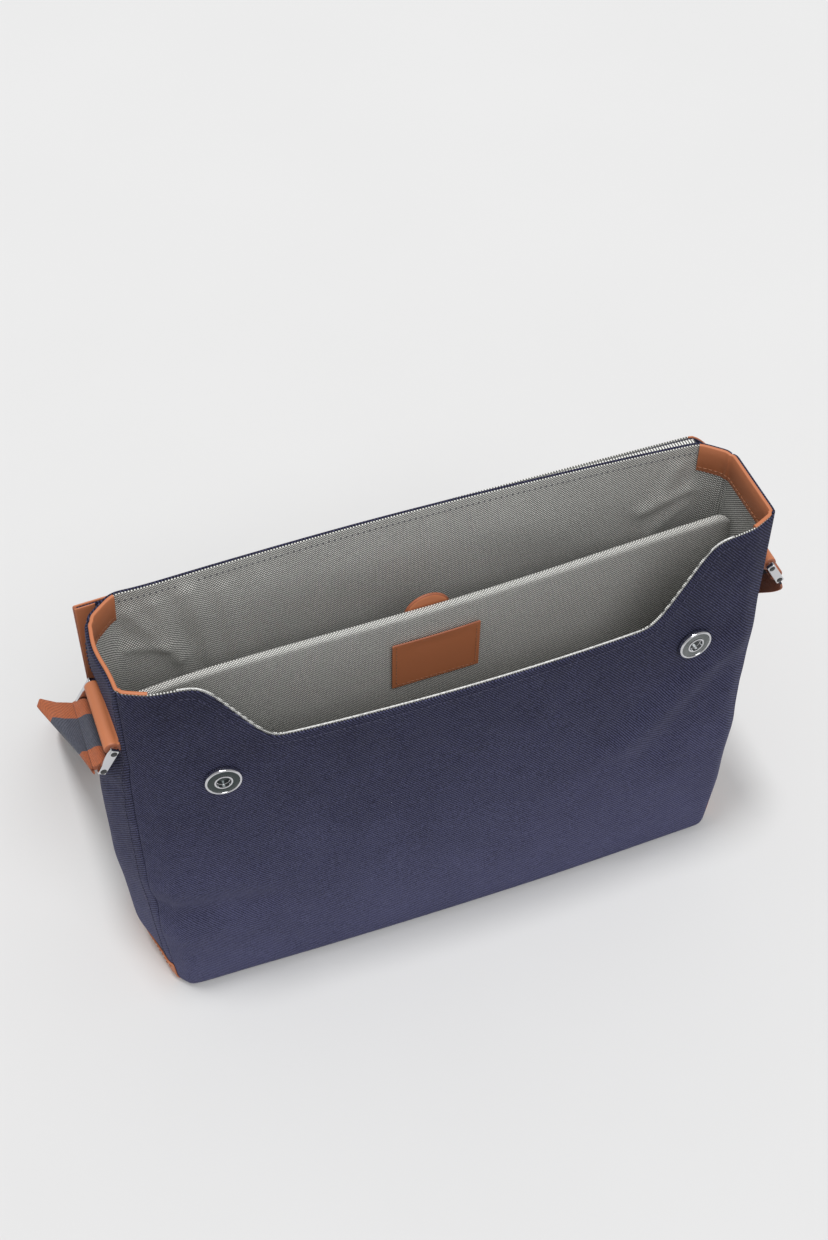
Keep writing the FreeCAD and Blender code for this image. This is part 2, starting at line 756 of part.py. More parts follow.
def make_slider():
    """Metal slide round the strap on the floor."""
    low = strap_floor_gap + slider_lift
    window_low = low - fit_gap
    window_high = low + webbing + fit_gap
    inner = half_webbing + leg_gap
    outer = inner + slider_wall
    x0 = slider_x - slider_depth / 2
    x1 = slider_x + slider_depth / 2
    y_mid = slider_row
    frame = box(x0, x1, y_mid - outer, y_mid + outer, window_low - slider_bar, window_high + slider_bar)
    window = box(x0 - cut_spare, x1 + cut_spare, y_mid - inner, y_mid + inner, window_low, window_high)
    frame = frame.cut(window)
    for side in (-1, 1):
        middle = slider_x + side * (slider_depth - slider_bar_width) / 4
        half = (slider_depth - 3 * slider_bar_width) / 4
        frame = frame.cut(box(middle - half, middle + half, y_mid - inner, y_mid + inner,
                              window_high - cut_spare, window_high + slider_bar + cut_spare))
    keep("strap_slider", frame.removeSplitter())


def main():
    """Build every sub-part and write one STEP file each."""
    os.makedirs("parts", exist_ok=True)
    make_front()
    make_rear()
    make_gussets()
    make_base()
    make_rim_facings()
    make_divider()
    make_sockets()
    make_studs()
    make_flap()
    make_hinge_strip()
    for name, side in (("left", -1), ("right", 1)):
        make_ring_tab(name, side)
        make_ring(name, side)
        make_strap_end(name, side)
    make_strap()
    make_slider()
    for name, shape in parts.items():
        shape.exportStep("parts/" + name + ".step")
        bounds = shape.BoundBox
        corners = (bounds.XMin, bounds.YMin, bounds.ZMin, bounds.XMax, bounds.YMax, bounds.ZMax)
        print(name, "solids", len(shape.Solids), "valid", shape.isValid(),
              "volume", round(shape.Volume / 1000, 2), "box", [round(value, 1) for value in corners])
    print("hinge", round(hinge_y, 3), round(hinge_z, 3), "fold", round(fold_y, 3), round(fold_z, 3),
          "ring axis x", round(ring_axis_x(), 3))


main()
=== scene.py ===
import logging
import math
from collections.abc import Sequence
from dataclasses import dataclass, field
from enum import Enum

import bmesh
import bpy
import numpy as np
from mathutils import Matrix, Vector


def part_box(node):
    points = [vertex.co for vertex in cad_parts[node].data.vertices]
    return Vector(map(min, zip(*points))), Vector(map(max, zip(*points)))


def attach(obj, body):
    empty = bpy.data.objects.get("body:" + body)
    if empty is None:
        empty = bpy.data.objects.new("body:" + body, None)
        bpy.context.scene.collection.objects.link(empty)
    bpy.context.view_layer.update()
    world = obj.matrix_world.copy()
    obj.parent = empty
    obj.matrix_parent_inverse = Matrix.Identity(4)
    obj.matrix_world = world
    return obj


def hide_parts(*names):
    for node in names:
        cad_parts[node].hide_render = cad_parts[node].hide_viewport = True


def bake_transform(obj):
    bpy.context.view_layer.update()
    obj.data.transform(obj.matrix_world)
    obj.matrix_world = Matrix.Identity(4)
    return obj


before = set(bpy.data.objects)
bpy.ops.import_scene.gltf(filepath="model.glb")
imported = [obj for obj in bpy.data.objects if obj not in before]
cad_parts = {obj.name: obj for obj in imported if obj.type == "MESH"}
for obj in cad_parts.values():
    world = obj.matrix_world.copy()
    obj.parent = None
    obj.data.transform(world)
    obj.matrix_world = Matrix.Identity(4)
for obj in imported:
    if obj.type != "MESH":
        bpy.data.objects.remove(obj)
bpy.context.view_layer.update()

# Open canvas messenger bag with leather trim, its flap thrown back behind it.
# Sizes are in millimetres and turned into metres as each mesh is made.
# +X runs along the bag's width, -Y is its front, +Z is up.

MM = 0.001
CLOTH = "cloth"
LOG = logging.getLogger("bag")


def node_low(node: str) -> Vector:
    """Lowest corner of a CAD node in millimetres."""
    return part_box(node)[0] / MM


def node_high(node: str) -> Vector:
    """Highest corner of a CAD node in millimetres."""
    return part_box(node)[1] / MM


# ------------------------------------------------------------------ shading
class Shader:
    """A Principled shader under construction, with short ways to add nodes."""

    def __init__(self, name: str) -> None:
        """Start an empty material.

        Args:
            name: The material's name.
        """
        self.material = bpy.data.materials.new(name)
        self.material.use_nodes = True
        self.tree = self.material.node_tree
        self.surface = self.tree.nodes["Principled BSDF"]

    def put(self, socket: str, value: object) -> None:
        """Set a constant on the shader's own socket."""
        self.surface.inputs[socket].default_value = value

    def link(self, source: object, socket: str) -> None:
        """Drive one of the shader's sockets from a node."""
        self.tree.links.new(source, self.surface.inputs[socket])

    def add(self, kind: str) -> object:
        """Add a node of a given type."""
        return self.tree.nodes.new(kind)

    def feed(self, target: object, value: object) -> None:
        """Give a node's input either a constant or another node's output."""
        if isinstance(value, bpy.types.NodeSocket):
            self.tree.links.new(value, target)
        else:
            target.default_value = value

    def math(self, operation: str, *values: object) -> object:
        """Add a maths node.

        Args:
            operation: The node's operation.
            values: Its inputs, numbers or sockets.

        Returns:
            The node's output.
        """
        node = self.add("ShaderNodeMath")
        node.operation = operation
        for target, value in zip(node.inputs, values):
            self.feed(target, value)
        return node.outputs[0]

    def wave(self, distance: object, pitch: float) -> object:
        """Sine wave from 0 to 1 along a distance in metres, with a pitch in millimetres."""
        turned = self.math("MULTIPLY", distance, 2 * math.pi / (pitch * MM))
        return self.math("MULTIPLY_ADD", self.math("SINE", turned), 0.5, 0.5)

    def cloth(self) -> tuple[object, object]:
        """Distances across and along the cloth of the piece, in metres."""
        node = self.add("ShaderNodeAttribute")
        node.attribute_name = CLOTH
        split = self.add("ShaderNodeSeparateXYZ")
        self.tree.links.new(node.outputs["Vector"], split.inputs[0])
        return split.outputs["X"], split.outputs["Y"]

    def place(self) -> object:
        """Position on the piece itself, so that a pattern moves with it."""
        return self.add("ShaderNodeTexCoord").outputs["Object"]

    def noise(self, size: float, detail: float = 2.0, rough: float = 0.5) -> object:
        """Add cloudy noise.

        Args:
            size: Size of its features in millimetres.
            detail: Octaves.
            rough: Roughness of the octaves.

        Returns:
            The noise's strength, about 0.5 on average.
        """
        node = self.add("ShaderNodeTexNoise")
        self.tree.links.new(self.place(), node.inputs["Vector"])
        node.inputs["Scale"].default_value = 1.0 / (size * MM)
        node.inputs["Detail"].default_value = detail
        node.inputs["Roughness"].default_value = rough
        return node.outputs["Fac"]

    def cells(self, size: float) -> object:
        """Distance to the nearest of many scattered points, for pores and grain."""
        node = self.add("ShaderNodeTexVoronoi")
        self.tree.links.new(self.place(), node.inputs["Vector"])
        node.inputs["Scale"].default_value = 1.0 / (size * MM)
        return node.outputs["Distance"]

    def between(self, value: object, low: float, high: float, to_low: float, to_high: float) -> object:
        """Map a value from one range to another, clamped."""
        node = self.add("ShaderNodeMapRange")
        for target, number in zip(node.inputs, (value, low, high, to_low, to_high)):
            self.feed(target, number)
        return node.outputs[0]

    def mix(self, share: object, first: object, second: object) -> object:
        """Mix two colours.

        Args:
            share: Share of the second colour.
            first: Colour or socket.
            second: Colour or socket.

        Returns:
            The mixed colour.
        """
        node = self.add("ShaderNodeMix")
        node.data_type = "RGBA"
        self.feed(node.inputs[0], share)
        for target, colour in ((node.inputs[6], first), (node.inputs[7], second)):
            self.feed(target, colour if isinstance(colour, bpy.types.NodeSocket) else (*colour, 1.0))
        return node.outputs[2]

    def bump(self, height: object, depth: float, strength: float = 1.0) -> None:
        """Raise the surface by a height map, depth in millimetres."""
        node = self.add("ShaderNodeBump")
        node.inputs["Strength"].default_value = strength
        node.inputs["Distance"].default_value = depth * MM
        self.tree.links.new(height, node.inputs["Height"])
        self.tree.links.new(node.outputs[0], self.surface.inputs["Normal"])


Colour = tuple[float, float, float]


@dataclass(frozen=True)
class TwillCanvas:
    """Matte cotton twill, its wales running down to the right."""

    name: str = "navy_twill"
    dark: Colour = (0.005, 0.005, 0.016)
    light: Colour = (0.100, 0.103, 0.205)
    pitch: float = 1.5
    lean: float = 50.0
    painted_light_near_floor: float = 0.34           # painted light: how much paler the cloth is painted near the floor, where more light falls

    def make(self) -> bpy.types.Material:
        """Build the material."""
        shader = Shader(self.name)
        across, along = shader.cloth()
        lean = math.radians(self.lean)
        wale_way = shader.math("ADD", shader.math("MULTIPLY", across, math.sin(lean)),
                               shader.math("MULTIPLY", along, math.cos(lean)))
        wander = shader.math("MULTIPLY_ADD", shader.noise(9.0), 0.9 * MM, wale_way)
        wale = shader.wave(wander, self.pitch)
        yarn = shader.math("MULTIPLY", shader.wave(along, 0.9), shader.wave(across, 0.7))
        height = shader.math("MULTIPLY_ADD", yarn, 0.35, wale)
        fleck = shader.between(shader.noise(0.8, 1.0), 0.3, 0.7, -0.22, 0.22)
        slub = shader.between(shader.noise(34.0, 3.0), 0.35, 0.65, -0.17, -0.09)
        # Painted light and shade: the cloth is painted paler near the floor and darker towards the rim.
        rubbing_and_painted_light = shader.between(along, 20 * MM, 290 * MM, self.painted_light_near_floor, -0.16)
        share = shader.math("ADD", shader.math("MULTIPLY_ADD", height, 0.62, fleck), slub)
        share = shader.math("ADD", share, rubbing_and_painted_light)
        shader.link(shader.mix(share, self.dark, self.light), "Base Color")
        shader.link(shader.between(shader.noise(5.0), 0.3, 0.7, 0.74, 0.92), "Roughness")
        shader.put("Specular IOR Level", 0.25)
        shader.put("Sheen Weight", 0.06)
        shader.put("Sheen Roughness", 0.45)
        shader.put("Sheen Tint", (0.45, 0.45, 0.85, 1.0))
        shader.bump(height, 0.22, 0.8)
        return shader.material


@dataclass(frozen=True)
class BirdseyeLining:
    """Small two-colour dobby weave, light dots in a dark ground."""

    name: str = "birdseye"
    dark: Colour = (0.075, 0.075, 0.070)
    light: Colour = (0.90, 0.90, 0.86)
    pitch: float = 1.8
    balance: float = 0.25

    def make(self) -> bpy.types.Material:
        """Build the material."""
        shader = Shader(self.name)
        across, along = shader.cloth()
        first = shader.math("ADD", across, along)
        second = shader.math("SUBTRACT", across, along)
        eyes = shader.math("MULTIPLY", shader.wave(first, self.pitch), shader.wave(second, self.pitch))
        fuzz = shader.between(shader.noise(0.7, 1.0), 0.25, 0.75, -0.12, 0.12)
        spread = 0.16
        low, high = self.balance - spread, self.balance + spread
        dot = shader.between(shader.math("ADD", eyes, fuzz), low, high, 0.0, 1.0)
        tone = shader.mix(dot, self.dark, self.light)
        cloud = shader.between(shader.noise(40.0, 3.0), 0.3, 0.7, 0.0, 0.10)
        shader.link(shader.mix(cloud, tone, (0.45, 0.45, 0.43)), "Base Color")
        shader.link(shader.between(shader.noise(4.0), 0.3, 0.7, 0.76, 0.92), "Roughness")
        shader.put("Specular IOR Level", 0.25)
        shader.put("Sheen Weight", 0.12)
        shader.bump(dot, 0.12, 0.6)
        return shader.material


@dataclass(frozen=True)
class SmoothLeather:
    """Semi-matt calf leather with fine grain, paler where it is worn."""

    name: str = "tan_leather"
    dark: Colour = (0.125, 0.018, 0.005)
    light: Colour = (0.215, 0.035, 0.010)
    worn: Colour = (0.33, 0.085, 0.034)
    gloss: float = 0.42

    def make(self) -> bpy.types.Material:
        """Build the material."""
        shader = Shader(self.name)
        cloud = shader.between(shader.noise(14.0, 4.0, 0.6), 0.3, 0.7, 0.0, 1.0)
        base = shader.mix(cloud, self.dark, self.light)
        edge = shader.add("ShaderNodeNewGeometry").outputs["Pointiness"]
        wear = shader.between(edge, 0.53, 0.62, 0.0, 0.55)
        shader.link(shader.mix(wear, base, self.worn), "Base Color")
        rubbing_and_painted_light = shader.between(shader.noise(3.0, 3.0), 0.3, 0.7, self.gloss - 0.06, self.gloss + 0.12)
        shader.link(rubbing_and_painted_light, "Roughness")
        shader.put("Coat Weight", 0.08)
        shader.put("Coat Roughness", 0.35)
        grain = shader.math("MULTIPLY_ADD", shader.noise(0.9, 2.0), 0.6, shader.cells(1.1))
        shader.bump(grain, 0.10, 0.45)
        return shader.material


@dataclass(frozen=True)
class RibbedWebbing:
    """Woven webbing: cross ribs and a lengthways yarn line."""

    name: str
    dark: Colour
    light: Colour
    rib: float = 1.1

    def make(self) -> bpy.types.Material:
        """Build the material."""
        shader = Shader(self.name)
        across, along = shader.cloth()
        slant = shader.math("MULTIPLY_ADD", across, 0.7, along)
        offset = shader.math("MULTIPLY_ADD", shader.noise(6.0), 0.5 * MM, slant)
        rib = shader.wave(offset, self.rib)
        yarn = shader.wave(across, 0.9)
        height = shader.math("MULTIPLY_ADD", yarn, 0.4, rib)
        fleck = shader.between(shader.noise(0.9, 1.0), 0.3, 0.7, -0.2, 0.2)
        share = shader.math("MULTIPLY_ADD", height, 0.6, fleck)
        shader.link(shader.mix(share, self.dark, self.light), "Base Color")
        shader.link(shader.between(shader.noise(5.0), 0.3, 0.7, 0.62, 0.84), "Roughness")
        shader.put("Sheen Weight", 0.12)
        shader.bump(height, 0.25, 0.8)
        return shader.material


@dataclass(frozen=True)
class Thread:
    """Twisted sewing thread."""

    name: str
    colour: Colour
    twist: float = 0.5

    def make(self) -> bpy.types.Material:
        """Build the material."""
        shader = Shader(self.name)
        shade = tuple(0.45 * part for part in self.colour)
        ply = shader.between(shader.noise(self.twist, 1.0), 0.3, 0.7, 0.0, 1.0)
        shader.link(shader.mix(ply, shade, self.colour), "Base Color")
        shader.link(shader.between(ply, 0.0, 1.0, 0.75, 0.55), "Roughness")
        shader.bump(ply, 0.06, 0.5)
        return shader.material


@dataclass(frozen=True)
class Metal:
    """Plated or bare metal with faint rubbing marks."""

    name: str
    colour: Colour
    shade: Colour
    gloss: float
    scratch: float = 0.03
    metallic: float = 1.0

    def make(self) -> bpy.types.Material:
        """Build the material."""
        shader = Shader(self.name)
        cloud = shader.between(shader.noise(7.0, 4.0, 0.6), 0.35, 0.65, 0.0, 1.0)
        shader.link(shader.mix(cloud, self.shade, self.colour), "Base Color")
        rubbing_and_painted_light = shader.between(shader.noise(1.6, 5.0, 0.7), 0.35, 0.75, self.gloss, self.gloss + 0.14)
        shader.link(rubbing_and_painted_light, "Roughness")
        shader.put("Metallic", self.metallic)
        shader.bump(shader.noise(0.6, 3.0), self.scratch, 0.2)
        return shader.material


@dataclass(frozen=True)
class MattSolid:
    """Foam, board or paper: one tone with a fine tooth."""

    name: str
    dark: Colour
    light: Colour
    tooth: float = 0.8
    depth: float = 0.08
    roughness: float = 0.85

    def make(self) -> bpy.types.Material:
        """Build the material."""
        shader = Shader(self.name)
        cloud = shader.between(shader.noise(self.tooth * 9, 3.0), 0.3, 0.7, 0.0, 1.0)
        shader.link(shader.mix(cloud, self.dark, self.light), "Base Color")
        spread = 0.05
        low, high = self.roughness - spread, self.roughness + spread
        shader.link(shader.between(shader.noise(self.tooth), 0.3, 0.7, low, high), "Roughness")
        shader.bump(shader.noise(self.tooth, 2.0), self.depth, 0.4)
        return shader.material


class Finish(Enum):
    """Every finish on the bag."""

    CANVAS = TwillCanvas()
    LINING = BirdseyeLining()
    LEATHER = SmoothLeather()
    LEATHER_EDGE = SmoothLeather(
        "leather_edge", (0.26, 0.075, 0.032), (0.35, 0.11, 0.05), (0.42, 0.15, 0.07), 0.50)
    WEBBING_TAN = RibbedWebbing("webbing_tan", (0.26, 0.070, 0.025), (0.46, 0.125, 0.045))
    WEBBING_SLATE = RibbedWebbing("webbing_slate", (0.028, 0.031, 0.046), (0.085, 0.092, 0.125))
    NAVY_THREAD = Thread("navy_thread", (0.045, 0.045, 0.10))
    GREY_THREAD = Thread("grey_thread", (0.16, 0.16, 0.17))
    TAN_THREAD = Thread("tan_thread", (0.46, 0.20, 0.10))
    PALE_BINDING = Thread("pale_binding", (0.86, 0.86, 0.84), 1.2)
    NICKEL = Metal("polished_nickel", (0.80, 0.80, 0.82), (0.66, 0.66, 0.68), 0.10)
    DARK_MIRROR = Metal("dark_mirror", (0.004, 0.005, 0.005), (0.002, 0.003, 0.003), 0.05)
    # Painted reflection: the right snap's face is the same black mirror as the left, painted grey for the
    # light it reflects.
    GREY_MIRROR = Metal("grey_mirror", (0.19, 0.20, 0.20), (0.12, 0.13, 0.13), 0.06)
    STEEL = Metal("plain_steel", (0.55, 0.55, 0.56), (0.42, 0.42, 0.43), 0.30, 0.06)
    FERRITE = Metal("ferrite", (0.10, 0.10, 0.11), (0.06, 0.06, 0.07), 0.60, 0.08, 0.0)
    BAR_CAP = Metal("black_bar_end", (0.020, 0.020, 0.022), (0.012, 0.012, 0.014), 0.30, 0.04, 0.0)
    BOARD = MattSolid("stiffening_board", (0.06, 0.06, 0.06), (0.10, 0.10, 0.10))
    FLOOR = MattSolid("pale_floor", (0.655, 0.655, 0.655), (0.665, 0.665, 0.665), 30.0, 0.02, 0.9)

    def material(self) -> bpy.types.Material:
        """The finish's material, made once."""
        found = bpy.data.materials.get(self.value.name)
        return found or self.value.make()


# ------------------------------------------------------------------ mesh tools
class Weave(Enum):
    """Which two axes a flat piece's cloth runs along."""

    FACING = (0, 2)
    SIDEWAYS = (1, 2)
    LEVEL = (0, 1)


def piece(name: str, points: np.ndarray, faces: Sequence[Sequence[int]]) -> bpy.types.Object:
    """Make a mesh object.

    Args:
        name: The piece's name.
        points: Corners in millimetres, one row each.
        faces: Corner indices of each face.

    Returns:
        The new object, smooth shaded.
    """
    mesh = bpy.data.meshes.new(name)
    mesh.from_pydata((np.asarray(points, float).reshape(-1, 3) * MM).tolist(), [], [list(f) for f in faces])
    mesh.validate()
    made = bpy.data.objects.new(name, mesh)
    bpy.context.scene.collection.objects.link(made)
    smooth(made)
    return made


def smooth(made: bpy.types.Object, angle: float = 42.0) -> None:
    """Shade smooth, with edges sharper than an angle in degrees left crisp."""
    made.data.polygons.foreach_set("use_smooth", [True] * len(made.data.polygons))
    made.data.set_sharp_from_angle(angle=math.radians(angle))


def grid(rows: int, columns: int, closed: bool = False) -> list[tuple[int, int, int, int]]:
    """Faces of a grid of points stored row by row.

    Args:
        rows: Number of rows.
        columns: Number of columns.
        closed: Whether the last column joins the first.

    Returns:
        The faces.
    """
    across = columns if closed else columns - 1
    faces = []
    for row in range(rows - 1):
        for column in range(across):
            nearby = (column + 1) % columns
            faces.append((row * columns + column, row * columns + nearby,
                          (row + 1) * columns + nearby, (row + 1) * columns + column))
    return faces


def settle(made: bpy.types.Object) -> None:
    """Turn a piece's modifiers into its mesh."""
    graph = bpy.context.evaluated_depsgraph_get()
    mesh = bpy.data.meshes.new_from_object(made.evaluated_get(graph))
    made.modifiers.clear()
    made.data = mesh
    smooth(made)


def weld(made: bpy.types.Object, fill: bool = False) -> None:
    """Merge a mesh's doubled corners and turn its faces outwards.

    Args:
        made: The piece.
        fill: Whether small holes are closed first.
    """
    building = bmesh.new()
    building.from_mesh(made.data)
    bmesh.ops.remove_doubles(building, verts=building.verts, dist=1e-6)
    if fill:
        bmesh.ops.holes_fill(building, edges=[edge for edge in building.edges if edge.is_boundary], sides=8)
    bmesh.ops.recalc_face_normals(building, faces=building.faces)
    building.to_mesh(made.data)
    building.free()
    smooth(made)


def thicken(made: bpy.types.Object, thickness: float, rounding: float = 0.45) -> None:
    """Give a sheet its thickness behind its face, with rounded edges.

    Args:
        made: The sheet.
        thickness: In millimetres.
        rounding: Edge radius as a share of the thickness.
    """
    solid = made.modifiers.new("thickness", "SOLIDIFY")
    solid.thickness = thickness * MM
    solid.offset = -1.0
    if rounding:
        edge = made.modifiers.new("edge", "BEVEL")
        edge.width = thickness * rounding * MM
        edge.segments = 2
        edge.limit_method = "ANGLE"
        edge.angle_limit = math.radians(50)
    settle(made)


def round_edges(made: bpy.types.Object, radius: float, segments: int = 3, angle: float = 35.0) -> None:
    """Round a hard piece's sharp edges by a radius in millimetres."""
    edge = made.modifiers.new("edge", "BEVEL")
    edge.width = radius * MM
    edge.segments = segments
    edge.limit_method = "ANGLE"
    edge.angle_limit = math.radians(angle)
    settle(made)


def corners_of(made: bpy.types.Object) -> np.ndarray:
    """A mesh's corners in millimetres."""
    flat = np.zeros(len(made.data.vertices) * 3)
    made.data.vertices.foreach_get("co", flat)
    return flat.reshape(-1, 3) / MM


def move_corners(made: bpy.types.Object, points: np.ndarray) -> None:
    """Put a mesh's corners at new places, in millimetres."""
    made.data.vertices.foreach_set("co", (points * MM).ravel())
    made.data.update()


def lay_cloth(made: bpy.types.Object, weave: Weave | None = None, runs: np.ndarray | None = None) -> None:
    """Store how far each corner lies across and along the cloth, for its weave.

    Args:
        made: The piece.
        weave: The axes that its cloth follows.
        runs: Distances across and along in millimetres, in place of weave.
    """
    if runs is None:
        runs = corners_of(made)[:, list(weave.value)]
    values = np.zeros((len(made.data.vertices), 3))
    values[:, :2] = runs * MM
    attribute = made.data.attributes.get(CLOTH) or made.data.attributes.new(CLOTH, "FLOAT_VECTOR", "POINT")
    attribute.data.foreach_set("vector", values.astype(np.float32).ravel())


def dress(made: bpy.types.Object, finish: Finish, *replaced: str, body: str | None = "bag",
          weave: Weave | None = None) -> bpy.types.Object:
    """Give a piece its finish, its weave, its body and the CAD nodes that it stands for.

    Args:
        made: The piece.
        finish: Its finish.
        replaced: CAD nodes that it replaces.
        body: The body it rides on, or None to leave it unattached.
        weave: The axes that its cloth follows.

    Returns:
        The piece.
    """
    made.data.materials.clear()
    made.data.materials.append(finish.material())
    if weave is not None:
        lay_cloth(made, weave)
    if body is not None:
        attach(made, body)
    if replaced:
        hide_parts(*replaced)
    LOG.info("%s: %d faces", made.name, len(made.data.polygons))
    return made


def joined(name: str, parts: Sequence[bpy.types.Object]) -> bpy.types.Object:
    """Join pieces into the first one.

    Args:
        name: The name of what they become.
        parts: The pieces.

    Returns:
        The joined piece.
    """
    building = bmesh.new()
    for part in parts:
        part.data.transform(part.matrix_world)
        building.from_mesh(part.data)
    mesh = bpy.data.meshes.new(name)
    building.to_mesh(mesh)
    building.free()
    for part in parts:
        bpy.data.objects.remove(part)
    made = bpy.data.objects.new(name, mesh)
    bpy.context.scene.collection.objects.link(made)
    smooth(made)
    return made


def along_path(path: np.ndarray, step: float) -> np.ndarray:
    """Points at even steps along a polyline.

    Args:
        path: The polyline's points.
        step: Wanted distance between points.

    Returns:
        Points an equal distance apart, close to step, both ends included.
    """
    lengths = np.linalg.norm(np.diff(path, axis=0), axis=1)
    reach = np.concatenate([[0.0], np.cumsum(lengths)])
    count = max(2, int(round(reach[-1] / step)) + 1)
    wanted = np.linspace(0.0, reach[-1], count)
    return np.stack([np.interp(wanted, reach, path[:, axis]) for axis in range(3)], axis=1)


def unit(vectors: np.ndarray) -> np.ndarray:
    """Vectors scaled to length 1."""
    return vectors / np.maximum(np.linalg.norm(vectors, axis=-1, keepdims=True), 1e-9)


def tube(name: str, path: np.ndarray, facing: np.ndarray, radius: float, sides: int = 8) -> bpy.types.Object:
    """Round cord along a path, closed at both ends.

    Args:
        name: The piece's name.
        path: Points of its middle line.
        facing: A direction at each point that isn't along the path.
        radius: In millimetres.
        sides: Faces round it.

    Returns:
        The cord.
    """
    ahead = unit(np.gradient(path, axis=0))
    side = unit(np.cross(ahead, facing))
    up = np.cross(side, ahead)
    turns = np.linspace(0, 2 * math.pi, sides, endpoint=False)
    rings = path[:, None, :] + radius * (np.cos(turns)[None, :, None] * side[:, None, :]
                                         + np.sin(turns)[None, :, None] * up[:, None, :])
    faces = grid(len(path), sides, closed=True)
    last = (len(path) - 1) * sides
    faces.append(tuple(range(sides - 1, -1, -1)))
    faces.append(tuple(range(last, last + sides)))
    return piece(name, rings.reshape(-1, 3), faces)


@dataclass
class StitchRow:
    """A row of machine stitches, each its own little arch of thread."""

    pitch: float = 3.6
    length: float = 2.7
    radius: float = 0.34
    sides: int = 6

    def sew(self, name: str, path: np.ndarray, facing: np.ndarray) -> bpy.types.Object:
        """Sew along a path.

        Args:
            name: The piece's name.
            path: Points along the seam, on the cloth's face.
            facing: The face's outward direction at each point.

        Returns:
            The stitches as one mesh.
        """
        both = np.concatenate([path, facing], axis=1)
        lengths = np.concatenate([[0.0], np.cumsum(np.linalg.norm(np.diff(path, axis=0), axis=1))])
        count = int(lengths[-1] / self.pitch)
        shape = ((-0.5, -0.8, 0.5), (-0.32, 0.35, 0.95), (0.0, 0.7, 1.0),
                 (0.32, 0.35, 0.95), (0.5, -0.8, 0.5))
        turns = np.linspace(0, 2 * math.pi, self.sides, endpoint=False)
        points = []
        faces = []
        for index in range(count):
            middle = (index + 0.5) * self.pitch
            rows = []
            for share, lift, girth in shape:
                place = np.clip(middle + share * self.length, 0.0, lengths[-1])
                rows.append([np.interp(place, lengths, both[:, axis]) for axis in range(6)]
                            + [lift * self.radius, girth * self.radius])
            rows = np.array(rows)
            out = unit(rows[:, 3:6])
            ahead = unit(np.gradient(rows[:, :3], axis=0))
            side = np.cross(ahead, out)
            start = len(points) * self.sides
            for row in range(len(rows)):
                centre = rows[row, :3] + out[row] * rows[row, 6]
                points.append(centre + rows[row, 7] * (np.cos(turns)[:, None] * side[row]
                                                       + np.sin(turns)[:, None] * out[row]))
            for face in grid(len(rows), self.sides, closed=True):
                faces.append([start + corner for corner in face])
            faces.append([start + corner for corner in range(self.sides - 1, -1, -1)])
            end = start + (len(rows) - 1) * self.sides
            faces.append([end + corner for corner in range(self.sides)])
        return piece(name, np.concatenate(points), faces)


def lathe(name: str, profile: Sequence[tuple[float, float]], centre: Vector, axis: Vector,
          segments: int = 64) -> bpy.types.Object:
    """Turn a profile round an axis.

    Args:
        name: The piece's name.
        profile: (radius, height) pairs in millimetres; a radius of 0 closes an end.
        centre: Where height 0 is, in millimetres.
        axis: The way heights grow.
        segments: Faces round it.

    Returns:
        The turned piece.
    """
    way = axis.normalized()
    first = way.orthogonal().normalized()
    second = way.cross(first)
    points = []
    faces = []
    for radius, height in profile:
        for index in range(segments):
            turn = 2 * math.pi * index / segments
            points.append(centre + way * height + (first * math.cos(turn) + second * math.sin(turn)) * radius)
    faces = grid(len(profile), segments, closed=True)
    made = piece(name, np.array([list(point) for point in points]), faces)
    building = bmesh.new()
    building.from_mesh(made.data)
    bmesh.ops.remove_doubles(building, verts=building.verts, dist=1e-6)
    bmesh.ops.recalc_face_normals(building, faces=building.faces)
    building.to_mesh(made.data)
    building.free()
    smooth(made, 30.0)
    return made


def block(name: str, low: Sequence[float], high: Sequence[float]) -> bpy.types.Object:
    """Six-sided block between two corners, to be shaped further."""
    x0, y0, z0 = low
    x1, y1, z1 = high
    points = [(x0, y0, z0), (x1, y0, z0), (x1, y1, z0), (x0, y1, z0),
              (x0, y0, z1), (x1, y0, z1), (x1, y1, z1), (x0, y1, z1)]
    faces = [(3, 2, 1, 0), (4, 5, 6, 7), (0, 1, 5, 4), (1, 2, 6, 5), (2, 3, 7, 6), (3, 0, 4, 7)]
    return piece(name, np.array(points), faces)


# ------------------------------------------------------------------ the bag's shape
@dataclass(frozen=True)
class Level:
    """The outline's sizes at one height, in millimetres."""

    height: float
    half_width: float
    corner_front: float
    shoulder: float
    shoulder_front: float
    front: float
    corner_rear: float
    shoulder_rear: float
    rear: float

    def sizes(self) -> np.ndarray:
        """The eight sizes after the height."""
        return np.array([self.half_width, self.corner_front, self.shoulder, self.shoulder_front,
                         self.front, self.corner_rear, self.shoulder_rear, self.rear])


class Panel(Enum):
    """The four upright panels, in order round the bag."""

    FRONT = 0
    RIGHT = 1
    REAR = 2
    LEFT = 3


@dataclass(frozen=True)
class Fold:
    """A soft ridge or dent of one panel, along a line on it.

    start and end are (across, up) places on the panel; rise is how far it stands out.
    """

    panel: Panel
    start: tuple[float, float]
    end: tuple[float, float]
    rise: float
    width: float

    def lift(self, across: np.ndarray, up: np.ndarray) -> np.ndarray:
        """How far the fold moves each place of its panel outwards."""
        start = np.array(self.start)
        way = np.array(self.end) - start
        share = ((across - start[0]) * way[0] + (up - start[1]) * way[1]) / max(way @ way, 1e-6)
        share = np.clip(share, 0.0, 1.0)
        gap = np.hypot(across - start[0] - share * way[0], up - start[1] - share * way[1])
        return self.rise * np.exp(-(gap / self.width) ** 2 / 2)


